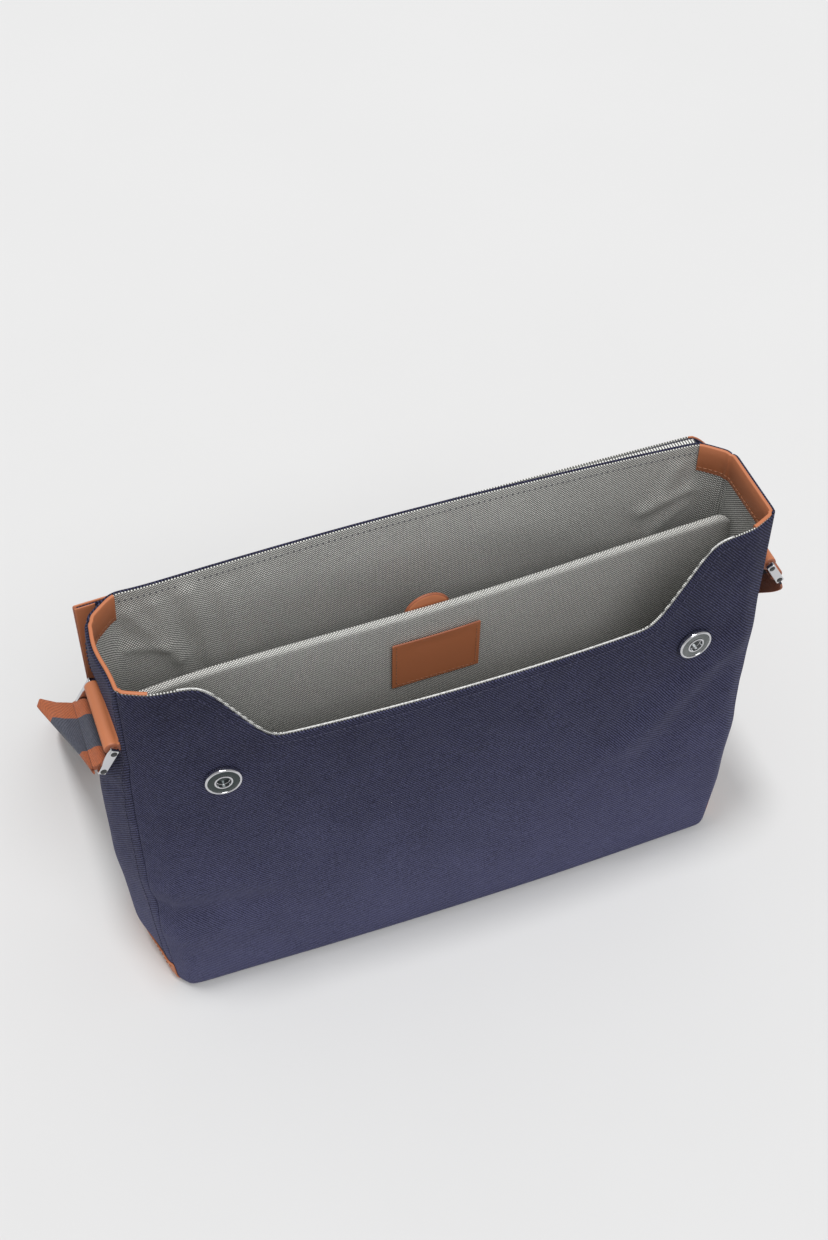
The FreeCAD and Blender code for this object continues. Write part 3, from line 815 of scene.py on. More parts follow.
FOLDS = (
    Fold(Panel.FRONT, (178, 206), (112, 140), 3.4, 10.0),
    Fold(Panel.FRONT, (176, 176), (134, 118), -3.0, 11.0),
    Fold(Panel.FRONT, (150, 204), (96, 150), -1.8, 9.0),
    Fold(Panel.FRONT, (187, 108), (176, 78), 1.6, 12.0),
    Fold(Panel.FRONT, (192, 150), (186, 130), -1.2, 10.0),
    Fold(Panel.FRONT, (188, 49), (180, 40), 1.6, 14.0),
    Fold(Panel.FRONT, (-194, 96), (-130, 84), -2.6, 8.0),
    Fold(Panel.FRONT, (-192, 118), (-140, 112), 1.8, 10.0),
    Fold(Panel.FRONT, (-190, 66), (-150, 60), 1.6, 10.0),
    Fold(Panel.FRONT, (-182, 60), (-174, 20), 1.0, 14.0),
    Fold(Panel.FRONT, (-90, 70), (60, 50), 1.2, 45.0),
    Fold(Panel.FRONT, (-40, 190), (90, 200), -1.0, 38.0),
    Fold(Panel.REAR, (-196, 300), (-186, 272), 3.0, 13.0),
    Fold(Panel.REAR, (-140, 250), (-134, 150), 1.1, 9.0),
    Fold(Panel.REAR, (-30, 240), (60, 160), 1.0, 40.0),
    Fold(Panel.REAR, (150, 250), (120, 120), -0.9, 18.0),
    Fold(Panel.LEFT, (10, 300), (24, 272), 4.0, 13.0),
    Fold(Panel.LEFT, (-26, 236), (22, 226), -1.5, 5.0),
    Fold(Panel.LEFT, (4, 204), (4, 36), 13.0, 19.0),
    Fold(Panel.LEFT, (-22, 206), (8, 190), -1.6, 5.0),
    Fold(Panel.LEFT, (-16, 120), (20, 96), 1.0, 11.0),
    Fold(Panel.RIGHT, (-24, 232), (22, 228), -1.3, 6.0),
    Fold(Panel.RIGHT, (0, 150), (0, 30), -2.0, 12.0),
)


LINING_CREASES = (
    Fold(Panel.REAR, (-176, 282), (-150, 232), 2.4, 4.5),
    Fold(Panel.REAR, (-160, 284), (-146, 214), 2.0, 4.0),
    Fold(Panel.REAR, (-140, 286), (-126, 200), 2.6, 5.0),
    Fold(Panel.REAR, (-120, 280), (-112, 206), 1.8, 4.5),
    Fold(Panel.REAR, (-96, 276), (-104, 190), 1.2, 7.0),
    Fold(Panel.REAR, (-178, 252), (-158, 246), 1.8, 3.5),
    Fold(Panel.REAR, (178, 262), (150, 252), 2.4, 4.0),
    Fold(Panel.REAR, (176, 248), (156, 228), 2.0, 4.0),
    Fold(Panel.REAR, (170, 284), (160, 262), 1.6, 4.0),
    Fold(Panel.REAR, (60, 270), (130, 224), 1.0, 12.0),
    Fold(Panel.REAR, (-40, 262), (30, 226), 1.0, 14.0),
)


@dataclass
class BagShape:
    """The bag's outer surface: a slightly bellied box with soft corners and folds.

    Places on it are a column number round the outline, starting at the front left seam,
    and a height. It runs front, right, rear, left.
    """

    levels: tuple[Level, Level, Level] = (
        Level(0, 194, 36, 8, 45, 48, 36, 44, 46),
        Level(130, 201, 33, 13, 44, 50, 33, 44, 48),
        Level(300, 200, 27, 17, 35, 48, 28, 43.5, 49),
    )
    face_columns: int = 184
    corner_columns: int = 10
    side_columns: int = 34
    step: float = 2.0
    top: float = 310.0
    easing: float = 28.0           # height over which the belly's bend is eased
    softness: float = 1.7          # corner rounding, in columns
    seam_depth: float = 1.1
    seam_width: float = 2.6
    foot_roll: float = 9.0         # height over which the foot rolls under
    foot_tuck: float = 4.0
    outline: np.ndarray = field(init=False)
    outward: np.ndarray = field(init=False)
    lift: np.ndarray = field(init=False)

    def __post_init__(self) -> None:
        """Work out the surface on a grid of heights and columns."""
        heights = np.arange(0.0, self.top + self.step, self.step)
        rough = np.stack([self.rough_outline(height) for height in heights])
        self.outline = self.softened(rough)
        ahead = np.roll(self.outline, -1, axis=1) - np.roll(self.outline, 1, axis=1)
        self.outward = unit(np.stack([ahead[..., 1], -ahead[..., 0]], axis=-1))
        self.lift = self.folds_and_seams(heights)

    def straight_sizes(self, height: float) -> np.ndarray:
        """Outline sizes at a height, straight between the levels."""
        foot, belly, rim = self.levels
        low, high = (foot, belly) if height < belly.height else (belly, rim)
        share = (height - low.height) / (high.height - low.height)
        return low.sizes() * (1 - share) + high.sizes() * share

    def sizes_at(self, height: float) -> np.ndarray:
        """Outline sizes at a height, eased where the belly is fullest."""
        around = np.linspace(-self.easing, self.easing, 7)
        near_end = min(height + self.easing, self.top) - height
        shifts = around * near_end / self.easing
        return np.mean([self.straight_sizes(height + shift) for shift in shifts], axis=0)

    def front_place(self, x: float, z: float) -> tuple[Vector, Vector]:
        """Point of the plain front face at a place, and the face's outward direction."""

        def depth(across: float, up: float) -> float:
            """Y of the front face."""
            half, _, shoulder, shoulder_f, front = self.straight_sizes(up)[:5]
            return -front + (front - shoulder_f) * (across / (half - shoulder)) ** 2

        here = Vector((x, depth(x, z), z))
        right = Vector((1, depth(x + 1, z) - here.y, 0))
        up = Vector((0, depth(x, z + 1) - here.y, 1))
        return here, right.cross(up).normalized()

    def rough_outline(self, height: float) -> np.ndarray:
        """Outline at a height with sharp corners, one point a column."""
        half, corner_f, shoulder, shoulder_f, front, corner_r, shoulder_r, rear = self.sizes_at(height)
        inner = half - shoulder
        face = np.linspace(-1, 1, self.face_columns, endpoint=False)
        corner = np.linspace(0, 1, self.corner_columns, endpoint=False)[:, None]
        side = np.linspace(0, 1, self.side_columns, endpoint=False)[:, None]

        def run(start: tuple[float, float], end: tuple[float, float], shares: np.ndarray) -> np.ndarray:
            """Points of a straight run."""
            return np.array(start) + shares * (np.array(end) - np.array(start))

        parts = [
            run((-half, -corner_f), (-inner, -shoulder_f), corner),
            np.stack([face * inner, -front + (front - shoulder_f) * face ** 2], axis=1),
            run((inner, -shoulder_f), (half, -corner_f), corner),
            run((half, -corner_f), (half, corner_r), side),
            run((half, corner_r), (inner, shoulder_r), corner),
            np.stack([-face * inner, rear - (rear - shoulder_r) * face ** 2], axis=1),
            run((-inner, shoulder_r), (-half, corner_r), corner),
            run((-half, corner_r), (-half, -corner_f), side),
        ]
        return np.concatenate(parts)

    def softened(self, rough: np.ndarray) -> np.ndarray:
        """Outlines with their corners rounded."""
        reach = int(3 * self.softness) + 1
        total = np.zeros_like(rough)
        weight = 0.0
        for shift in range(-reach, reach + 1):
            share = math.exp(-(shift / self.softness) ** 2 / 2)
            total += share * np.roll(rough, shift, axis=1)
            weight += share
        return total / weight

    def folds_and_seams(self, heights: np.ndarray) -> np.ndarray:
        """How far each place stands out from the plain outline."""
        up = np.repeat(heights[:, None], self.columns, axis=1)
        lift = np.zeros_like(up)
        for fold in FOLDS:
            columns = self.span(fold.panel) % self.columns
            axis = 0 if fold.panel in (Panel.FRONT, Panel.REAR) else 1
            lift[:, columns] += fold.lift(self.outline[:, columns, axis], up[:, columns])
        lift = self.softened(lift)
        for panel in Panel:
            gap = np.abs(np.arange(self.columns) - self.span(panel)[0])
            gap = np.minimum(gap, self.columns - gap) * 2.0
            lift -= self.seam_depth * np.exp(-(gap / self.seam_width) ** 2)[None, :]
        rolled = np.clip((self.foot_roll - up) / self.foot_roll, 0.0, 1.0)
        return lift - self.foot_tuck * (1 - np.sqrt(1 - rolled ** 2))

    @property
    def columns(self) -> int:
        """Number of columns round the bag."""
        return 4 * self.corner_columns + 2 * self.face_columns + 2 * self.side_columns

    def span(self, panel: Panel) -> np.ndarray:
        """Columns of a panel, from seam to seam."""
        wide = 2 * self.corner_columns + self.face_columns
        starts = {Panel.FRONT: 0, Panel.RIGHT: wide, Panel.REAR: wide + self.side_columns,
                  Panel.LEFT: 2 * wide + self.side_columns}
        count = wide if panel in (Panel.FRONT, Panel.REAR) else self.side_columns
        return np.arange(starts[panel], starts[panel] + count + 1)

    def at(self, columns: np.ndarray, heights: np.ndarray, offset: float | np.ndarray = 0.0) -> np.ndarray:
        """Points of the surface.

        Args:
            columns: Column numbers.
            heights: Heights of the same shape.
            offset: How far outside the surface, negative for inside.

        Returns:
            Points in millimetres.
        """
        columns = np.asarray(columns) % self.columns
        level = np.clip(np.asarray(heights, float) / self.step, 0, len(self.outline) - 1.001)
        low = level.astype(int)
        share = (level - low)[..., None]
        flat = self.outline[low, columns] * (1 - share) + self.outline[low + 1, columns] * share
        out = self.outward[low, columns]
        lift = self.lift[low, columns] * (1 - share[..., 0]) + self.lift[low + 1, columns] * share[..., 0]
        flat = flat + out * (lift + offset)[..., None]
        return np.concatenate([flat, np.asarray(heights, float)[..., None]], axis=-1)

    def outward_at(self, columns: np.ndarray, heights: np.ndarray) -> np.ndarray:
        """Outward level directions of the surface."""
        columns = np.asarray(columns) % self.columns
        low = np.clip(np.asarray(heights, float) / self.step, 0, len(self.outline) - 2).astype(int)
        flat = self.outward[low, columns]
        return np.concatenate([flat, np.zeros(flat.shape[:-1] + (1,))], axis=-1)

    def wall(self, name: str, columns: np.ndarray, low: float, high: np.ndarray | float, offset: float,
             thickness: float, rows: int = 96) -> bpy.types.Object:
        """Upright sheet that follows the surface.

        Args:
            name: The piece's name.
            columns: Columns it spans.
            low: Height of its foot.
            high: Height of its top, one value or one a column.
            offset: Place of its outer face, negative for inside.
            thickness: How far it reaches inwards.
            rows: Rows of points.

        Returns:
            The sheet.
        """
        tops = np.broadcast_to(np.asarray(high, float), columns.shape)
        shares = np.linspace(0, 1, rows)[:, None]
        heights = low + shares * (tops - low)[None, :]
        points = self.at(np.broadcast_to(columns, heights.shape), heights, offset)
        made = piece(name, points.reshape(-1, 3), grid(rows, len(columns)))
        thicken(made, thickness)
        return made

    def swept(self, name: str, columns: np.ndarray,
              profile: Sequence[tuple[float, float]]) -> bpy.types.Object:
        """Closed profile of (offset, height) points carried along the surface."""
        offsets = np.array([point[0] for point in profile])
        heights = np.array([point[1] for point in profile])
        count = len(profile)
        rows = np.broadcast_to(columns[:, None], (len(columns), count))
        points = self.at(rows, np.broadcast_to(heights, rows.shape), np.broadcast_to(offsets, rows.shape))
        faces = grid(len(columns), count, closed=True)
        last = (len(columns) - 1) * count
        faces.append(tuple(range(count - 1, -1, -1)))
        faces.append(tuple(range(last, last + count)))
        return piece(name, points.reshape(-1, 3), faces)


@dataclass
class Scoop:
    """The dipped front edge."""

    rim: float = 300.0
    top_half: float = 153.0
    bottom_half: float = 118.0
    depth: float = 54.0
    rounding: float = 5.5

    def height(self, x: np.ndarray, drop: float = 0.0) -> np.ndarray:
        """Height of the edge at each x, lowered by drop where it dips."""
        across = np.arange(-260.0, 261.0)
        slope = self.depth / (self.top_half - self.bottom_half)
        sharp = np.clip(self.rim - self.depth - drop + (np.abs(across) - self.bottom_half - drop) * slope,
                        self.rim - self.depth - drop, self.rim)
        reach = np.arange(-20, 21)
        kernel = np.exp(-(reach / self.rounding) ** 2 / 2)
        soft = np.convolve(np.pad(sharp, 20, mode="edge"), kernel / kernel.sum(), mode="valid")
        return np.interp(x, across, soft)


# ------------------------------------------------------------------ sewn body
@dataclass
class SewnBody:
    """Canvas panels, their linings and the seams between them."""

    shape: BagShape
    scoop: Scoop
    canvas: float = 1.8
    lining: float = 0.8
    gap: float = 0.2
    foot: float = 0.3
    inside_foot: float = 5.2
    lining_edge: float = 0.8
    stitch: StitchRow = field(default_factory=StitchRow)

    def front_tops(self, columns: np.ndarray, drop: float) -> np.ndarray:
        """Heights of the front's edge at each column."""
        x = self.shape.at(columns, np.full(len(columns), self.scoop.rim - self.scoop.depth / 2))[:, 0]
        return self.scoop.height(x, drop)

    def panels(self) -> None:
        """Front, rear and gussets in canvas."""
        names = {Panel.FRONT: "front_panel", Panel.REAR: "rear_panel",
                 Panel.LEFT: "gusset_left", Panel.RIGHT: "gusset_right"}
        for panel, name in names.items():
            columns = self.shape.span(panel)
            top = self.front_tops(columns, self.lining_edge) if panel is Panel.FRONT else self.scoop.rim
            made = self.shape.wall("canvas_" + name, columns, self.foot, top, 0.0, self.canvas)
            weave = Weave.FACING if panel in (Panel.FRONT, Panel.REAR) else Weave.SIDEWAYS
            dress(made, Finish.CANVAS, name, weave=weave)

    def linings(self) -> None:
        """Linings of the four panels and of the bottom."""
        names = {Panel.FRONT: "front", Panel.REAR: "rear", Panel.LEFT: "left", Panel.RIGHT: "right"}
        offset = -(self.canvas + self.gap)
        for panel, name in names.items():
            columns = self.shape.span(panel)
            top = self.front_tops(columns, 0.0) if panel is Panel.FRONT else self.scoop.rim
            made = self.shape.wall("inside_" + name, columns, self.inside_foot, top, offset, self.lining, 150)
            if panel is Panel.REAR:
                self.crease(made)
            weave = Weave.FACING if panel in (Panel.FRONT, Panel.REAR) else Weave.SIDEWAYS
            dress(made, Finish.LINING, "lining_" + name, weave=weave)
        ring = self.shape.at(np.arange(self.shape.columns), np.full(self.shape.columns, 14.0), offset)
        dress(self.floor_sheet("inside_bottom", ring, 4.4, self.lining), Finish.LINING, "lining_bottom",
              weave=Weave.LEVEL)

    def crease(self, made: bpy.types.Object) -> None:
        """Stand the loose parts of the rear lining away from the canvas in soft creases."""
        points = corners_of(made)
        for fold in LINING_CREASES:
            points[:, 1] -= fold.lift(points[:, 0], points[:, 2])
        move_corners(made, points)

    def floor_sheet(self, name: str, ring: np.ndarray, low: float, thickness: float) -> bpy.types.Object:
        """Level sheet with an outline, slightly dished in the middle.

        Args:
            name: The piece's name.
            ring: Its outline.
            low: Height of its underside at the edge.
            thickness: In millimetres.

        Returns:
            The sheet.
        """
        shares = np.linspace(1.0, 0.0, 14)
        rows = []
        for share in shares:
            points = ring * np.array([share, share, 0.0])
            points[:, 2] = low + thickness + 0.15 * math.sin(share * 9.0)
            rows.append(points)
        made = piece(name, np.concatenate(rows), grid(len(rows), len(ring), closed=True))
        weld(made)
        thicken(made, thickness, 0.0)
        return made

    def edge_path(self, drop: float, offset: float, columns: np.ndarray) -> tuple[np.ndarray, np.ndarray]:
        """Line that follows the front's edge, and the outward direction along it.

        Args:
            drop: How far below the edge, measured square to it.
            offset: How far outside the surface.
            columns: Columns it spans.

        Returns:
            The points and the directions.
        """
        tops = self.front_tops(columns, self.lining_edge)
        base = self.shape.at(columns, tops, offset)
        ahead = unit(np.gradient(base, axis=0))
        outward = self.shape.outward_at(columns, tops)
        down = unit(np.cross(outward, ahead))
        down *= -np.sign(down[:, 2:3])
        wanted = base + down * drop
        path = along_path(wanted, 1.5)
        facing = np.stack([np.interp(path[:, 0], wanted[:, 0], outward[:, axis])
                           for axis in range(3)], axis=1)
        return path, facing

    def seams(self) -> None:
        """Binding along the scoop and the rows of stitches."""
        columns = self.shape.span(Panel.FRONT)[self.shape.corner_columns + 8:-self.shape.corner_columns - 8]
        path, facing = self.edge_path(-0.35, -self.canvas - self.gap - self.lining / 2, columns)
        dress(tube("scoop_edge_binding", path, facing, 0.5, 10), Finish.PALE_BINDING)
        path, facing = self.edge_path(5.2, 0.12, columns)
        dress(self.stitch.sew("scoop_stitches_0", path, facing), Finish.NAVY_THREAD)
        inner = self.canvas + self.gap + self.lining
        columns = self.shape.span(Panel.REAR)[self.shape.corner_columns:-self.shape.corner_columns]
        heights = np.full(len(columns), self.scoop.rim - 6.5)
        path = self.shape.at(columns, heights, -inner - 0.1)
        dress(self.stitch.sew("rear_rim_stitches", path, -self.shape.outward_at(columns, heights)),
              Finish.GREY_THREAD)
        for side, panel in (("left", Panel.LEFT), ("right", Panel.RIGHT)):
            for end, place in (("front", 0), ("rear", -1)):
                column = self.shape.span(panel)[place]
                heights = np.linspace(24, 292, 160)
                rows = np.full(len(heights), column + (3 if place == 0 else -3))
                path = self.shape.at(rows, heights, 0.12)
                facing = self.shape.outward_at(rows, heights)
                dress(self.stitch.sew(f"gusset_stitches_{side}_{end}", path, facing),
                      Finish.NAVY_THREAD)

    def build(self) -> None:
        """Build and dress everything."""
        self.panels()
        self.linings()
        self.seams()


# ------------------------------------------------------------------ leather
@dataclass
class LeatherTrim:
    """Base, rim facings and their stitches."""

    shape: BagShape
    sole: float = 2.0
    upturn: float = 20.0
    wrap: int = 1                  # columns that each upturned end reaches round its corners
    leather: float = 1.2
    gap: float = 0.2
    rim: float = 300.0
    facing: float = 20.0
    wall: float = 2.8
    stitch: StitchRow = field(default_factory=lambda: StitchRow(3.4, 2.5, 0.32))

    def base(self) -> None:
        """Sole and the two upturned ends."""
        around = np.arange(self.shape.columns)
        rim = self.shape.at(around, np.full(len(around), 3.0), -3.4)
        rows = []
        for share, height in ((0.0, 0.0), (0.5, 0.0), (0.93, 0.0), (0.985, 0.05), (1.0, 0.6), (1.0, 1.5),
                              (0.985, 2.0), (0.5, 2.0), (0.0, 2.0)):
            points = rim * np.array([share, share, 0.0])
            points[:, 2] = height
            rows.append(points)
        sole = piece("base_sole", np.concatenate(rows), grid(len(rows), len(around), closed=True))
        weld(sole)
        dress(sole, Finish.LEATHER, "leather_base")
        for side, panel in (("left", Panel.LEFT), ("right", Panel.RIGHT)):
            span = self.shape.span(panel)
            columns = np.arange(span[0] - self.wrap, span[-1] + self.wrap + 1)
            made = self.shape.wall("base_end_" + side, columns, 0.1, self.upturn, self.gap + self.leather,
                                   self.leather, 20)
            dress(made, Finish.LEATHER)
            heights = np.full(len(columns), self.upturn - 3.0)
            path = self.shape.at(columns, heights, self.gap + self.leather + 0.1)
            facing = self.shape.outward_at(columns, heights)
            dress(self.stitch.sew("base_end_stitches_" + side, path, facing), Finish.TAN_THREAD)

    def rim_facings(self) -> None:
        """Leather folded over the rim at each end of the mouth."""
        inner = -(self.wall + self.gap)
        back = inner - self.leather
        low = self.rim - self.facing
        for side, panel in (("left", Panel.LEFT), ("right", Panel.RIGHT)):
            span = self.shape.span(panel)
            columns = np.arange(span[0] - self.shape.corner_columns, span[-1] + self.shape.corner_columns + 1)
            profile = [(inner, low + 0.3), (inner - 0.3, low), (back + 0.4, low), (back, low + 0.5),
                       (back, self.rim - 6), (back, self.rim + 0.1), (back + 0.35, self.rim + 0.75),
                       (back + 1.1, self.rim + 1.0), (-2.6, self.rim + 1.0), (-2.05, self.rim + 0.7),
                       (-1.85, self.rim + 0.3), (-2.0, self.rim), (inner, self.rim), (inner, self.rim - 6)]
            made = self.shape.swept("rim_facing_leather_" + side, columns, profile[::-1])
            dress(made, Finish.LEATHER, "rim_facing_" + side)
            heights = np.full(len(columns), low + 3.0)
            path = self.shape.at(columns, heights, back - 0.1)
            facing = -self.shape.outward_at(columns, heights)
            dress(self.stitch.sew("rim_facing_stitches_" + side, path, facing),
                  Finish.TAN_THREAD)
            edge = self.shape.at(columns, np.full(len(columns), low + 0.1), back + self.leather / 2)
            dress(tube("rim_facing_edge_" + side, edge, self.shape.outward_at(columns, heights), 0.62, 8),
                  Finish.LEATHER_EDGE)

    def build(self) -> None:
        """Build and dress everything."""
        self.base()
        self.rim_facings()


# ------------------------------------------------------------------ padded divider
@dataclass
class PaddedDivider:
    """Foam divider in its lining cover, with a pull tab and a leather patch."""

    shape: BagShape
    low: float = 5.6
    top: float = 263.0
    front: float = 3.9
    rear: float = 9.7
    spacing: float = 4.4
    swell: float = 2.0             # how far the middle fills out
    frames: int = 20
    patch_low: tuple[float, float] = (-30.5, 198.5)
    patch_high: tuple[float, float] = (26.5, 239.0)
    sag: float = 5.0
    left_round: float = 70.0
    left_fall: float = 5.0
    right_round: float = 12.0
    tab_half: float = 14.0
    tab_x: float = -5.0
    tab_rise: float = 1.5
    leather: float = 1.2
    stitch: StitchRow = field(default_factory=lambda: StitchRow(3.0, 2.2, 0.30))
    lean: float = 0.8              # backward lean at the top, in the middle
    lean_growth: float = 5.2       # more of it at lean_reach to the right
    lean_reach: float = 170.0
    sag_x: float = 20.0
    sag_width: float = 110.0
    fall_from: float = 150.0       # height above which the top sinks
    side_gap: float = 3.3          # bag's outline to the divider's end
    gape: float = 0.9              # how far the patch's open top stands off
    gape_depth: float = 9.0
    gape_half: float = 34.0
    tab_root: float = 22.0         # divider's top down to the tab's foot

    def sway(self, x: np.ndarray, z: np.ndarray) -> np.ndarray:
        """How far the divider leans back at a place, more to the right and higher up."""
        lean = self.lean + self.lean_growth * x / self.lean_reach
        return lean * (np.clip(z, 0, self.top) / self.top) ** 2

    def fall(self, x: np.ndarray, z: np.ndarray) -> np.ndarray:
        """How far the top sinks: a sag in the middle and a rounded corner at each end."""
        reach = self.half_width(self.top)[0]
        left = np.clip(1 - (reach + x) / self.left_round, 0, 1)
        right = np.clip(1 - (reach - x) / self.right_round, 0, 1)
        sag = self.sag * np.exp(-((x - self.sag_x) / self.sag_width) ** 2)
        corners = self.left_fall * left ** 2 + self.right_round * (1 - np.sqrt(1 - right ** 2))
        return (sag + corners) * np.clip((z - self.fall_from) / (self.top - self.fall_from), 0, 1) ** 2

    def half_width(self, z: np.ndarray) -> np.ndarray:
        """Half the divider's width at a height."""
        return np.array([self.shape.sizes_at(height)[0] for height in np.atleast_1d(z)]) - self.side_gap

    def slab(self) -> bpy.types.Object:
        """Closed slab with rounded edges, before it fills out."""
        across = np.linspace(-1, 1, int(2 * 196 / self.spacing))
        up = np.linspace(0, 1, int((self.top - self.low) / self.spacing))
        rows = []
        half = (self.rear - self.front) / 2
        middle = (self.rear + self.front) / 2
        turns = [math.radians(angle) for angle in (90, 60, 30, 0, -30, -60, -90)]
        heights = self.low + up * (self.top - half - self.low)
        front_rows = [(height, -half) for height in heights]
        cap = [(heights[-1] + half * math.cos(turn), half * -math.sin(turn)) for turn in turns[1:-1]]
        rear_rows = [(height, half) for height in heights[::-1]]
        for height, depth in front_rows + cap + rear_rows:
            reach = self.half_width(height)[0]
            x = across * reach
            edge = np.clip((reach - np.abs(x)) / 4.0, 0.0, 1.0)
            thin = 0.25 + 0.75 * np.sqrt(1 - (1 - edge) ** 2)
            rows.append(np.stack([x, middle + depth * thin, np.full_like(x, height)], axis=1))
        count = len(across)
        total = len(rows)
        faces = grid(total, count)
        faces += [(row * count, (row + 1) * count, (total - 2 - row) * count, (total - 1 - row) * count)
                  for row in range(total // 2 - 1)]
        faces += [((total - 1 - row) * count + count - 1, (total - 2 - row) * count + count - 1,
                   (row + 1) * count + count - 1, row * count + count - 1) for row in range(total // 2 - 1)]
        last = range(total * count - 1, (total - 1) * count - 1, -1)
        faces.append(tuple(range(count)) + tuple(last))
        made = piece("divider_pad", np.concatenate(rows), faces)
        weld(made, fill=True)
        return made

    def fill_out(self, made: bpy.types.Object) -> None:
        """Let the cover swell over its foam as cloth, then keep a share of that."""
        before = corners_of(made)
        held = made.vertex_groups.new(name="held")
        edge = (before[:, 2] < self.low + 2) | (np.abs(before[:, 0]) > self.half_width(130.0)[0] - 8)
        edge |= before[:, 2] > self.top - 12
        held.add([int(index) for index in np.flatnonzero(edge)], 1.0, "REPLACE")
        cloth = made.modifiers.new("cover", "CLOTH")
        cloth.settings.quality = 6
        cloth.settings.mass = 0.3
        cloth.settings.tension_stiffness = 12
        cloth.settings.compression_stiffness = 12
        cloth.settings.bending_stiffness = 3.0
        cloth.settings.use_pressure = True
        cloth.settings.uniform_pressure_force = 4
        cloth.settings.effector_weights.gravity = 0
        cloth.settings.vertex_group_mass = "held"
        cloth.point_cache.frame_start = 1
        cloth.point_cache.frame_end = self.frames
        for number in range(1, self.frames + 1):
            bpy.context.scene.frame_set(number)
        settle(made)
        bpy.context.scene.frame_set(1)
        moved = corners_of(made) - before
        moved *= min(1.0, self.swell / max(np.percentile(np.abs(moved[:, 1]), 97), 1e-6))
        reach = np.linalg.norm(moved, axis=1, keepdims=True)
        moved *= np.minimum(1.0, 1.4 * self.swell / np.maximum(reach, 1e-6))
        move_corners(made, before + moved)

    def pad(self) -> None:
        """The pad itself."""
        made = self.slab()
        self.fill_out(made)
        finer = made.modifiers.new("finer", "SUBSURF")
        finer.levels = 1
        finer.render_levels = 1
        settle(made)
        points = corners_of(made)
        points[:, 1] += self.sway(points[:, 0], points[:, 2])
        points[:, 2] -= self.fall(points[:, 0], points[:, 2])
        move_corners(made, points)
        dress(made, Finish.LINING, "divider_foam", "divider_front_cover", "divider_rear_cover")
        lay_cloth(made, runs=np.stack([points[:, 0], points[:, 2] + points[:, 1]], axis=1))

    def face_y(self, x: np.ndarray, z: np.ndarray) -> np.ndarray:
        """Depth of the pad's front face where the patch is sewn."""
        return self.front - self.swell + self.sway(x, z)

    def patch(self) -> None:
        """Leather patch, sewn down on three sides, its top edge standing a little proud."""
        x_low, z_low = self.patch_low
        x_high, z_high = self.patch_high
        across = np.linspace(x_low, x_high, 40)
        up = np.linspace(z_low, z_high, 30)
        x, z = np.meshgrid(across, up)
        near_top = np.clip((z - z_high + self.gape_depth) / self.gape_depth, 0, 1)
        gape = self.gape * near_top ** 2 * (1 - ((x - self.patch_middle) / self.gape_half) ** 2)
        y = self.face_y(x, z) - self.leather - gape
        points = np.stack([x, y, z], axis=-1)
        made = piece("leather_patch_face", points.reshape(-1, 3), grid(len(up), len(across)))
        thicken(made, self.leather)
        dress(made, Finish.LEATHER, "leather_patch")
        inset = 2.6
        corner = 1.5
        left, right, low, high = x_low + inset, x_high - inset, z_low + inset, z_high - 1.0
        line = [(left, high), (left, low + corner), (left + corner, low), (right - corner, low),
                (right, low + corner), (right, high)]
        path = along_path(np.array([(x, 0.0, z) for x, z in line]), 1.2)
        path[:, 1] = self.face_y(path[:, 0], path[:, 2]) - self.leather - 0.1
        facing = np.tile([0.0, -1.0, 0.0], (len(path), 1))
        dress(self.stitch.sew("leather_patch_stitches", path, facing), Finish.TAN_THREAD)
        x = np.linspace(x_low + 0.6, x_high - 0.6, 40)
        z = np.full_like(x, z_high - 0.1)
        gape = self.gape * (1 - ((x - self.patch_middle) / self.gape_half) ** 2)
        path = np.stack([x, self.face_y(x, z) - self.leather / 2 - gape, z], axis=1)
        facing = np.tile([0.0, -1.0, 0.0], (len(x), 1))
        dress(tube("leather_patch_edge", path, facing, 0.64, 8), Finish.LEATHER_EDGE)

    @property
    def patch_middle(self) -> float:
        """Middle of the patch along X."""
        return (self.patch_low[0] + self.patch_high[0]) / 2

    def tab(self) -> None:
        """Half-round pull tab behind the divider's top, with a painted edge."""
        root = self.top - self.tab_root
        centre = self.top + self.tab_rise - self.tab_half
        turns = np.linspace(0, math.pi, 25)
        rim = [(self.tab_x + self.tab_half * math.cos(turn), centre + self.tab_half * math.sin(turn))
               for turn in turns]
        outline = [(self.tab_x + self.tab_half, root)] + rim + [(self.tab_x - self.tab_half, root)]
        back = self.rear + 1.3
        rows = []
        for share in np.linspace(1.0, 0.0, 8):
            rows.append([(self.tab_x + (x - self.tab_x) * share, back, centre - 6 + (z - centre + 6) * share)
                         for x, z in outline])
        points = np.array(rows).reshape(-1, 3)
        points[:, 1] += self.sway(points[:, 0], points[:, 2])
        made = piece("pull_tab_leather", points, grid(len(rows), len(outline), closed=True))
        weld(made)
        thicken(made, self.leather)
        dress(made, Finish.LEATHER, "divider_pull_tab")
        path = np.array([(x, back + self.sway(np.array(x), np.array(z)), z) for x, z in outline])
        path = along_path(path, 1.2)
        facing = np.tile([0.0, 1.0, 0.0], (len(path), 1))
        dress(tube("pull_tab_edge", path, facing, 0.95, 10), Finish.LEATHER_EDGE)

    def build(self) -> None:
        """Build and dress everything."""
        self.pad()
        self.patch()
        self.tab()


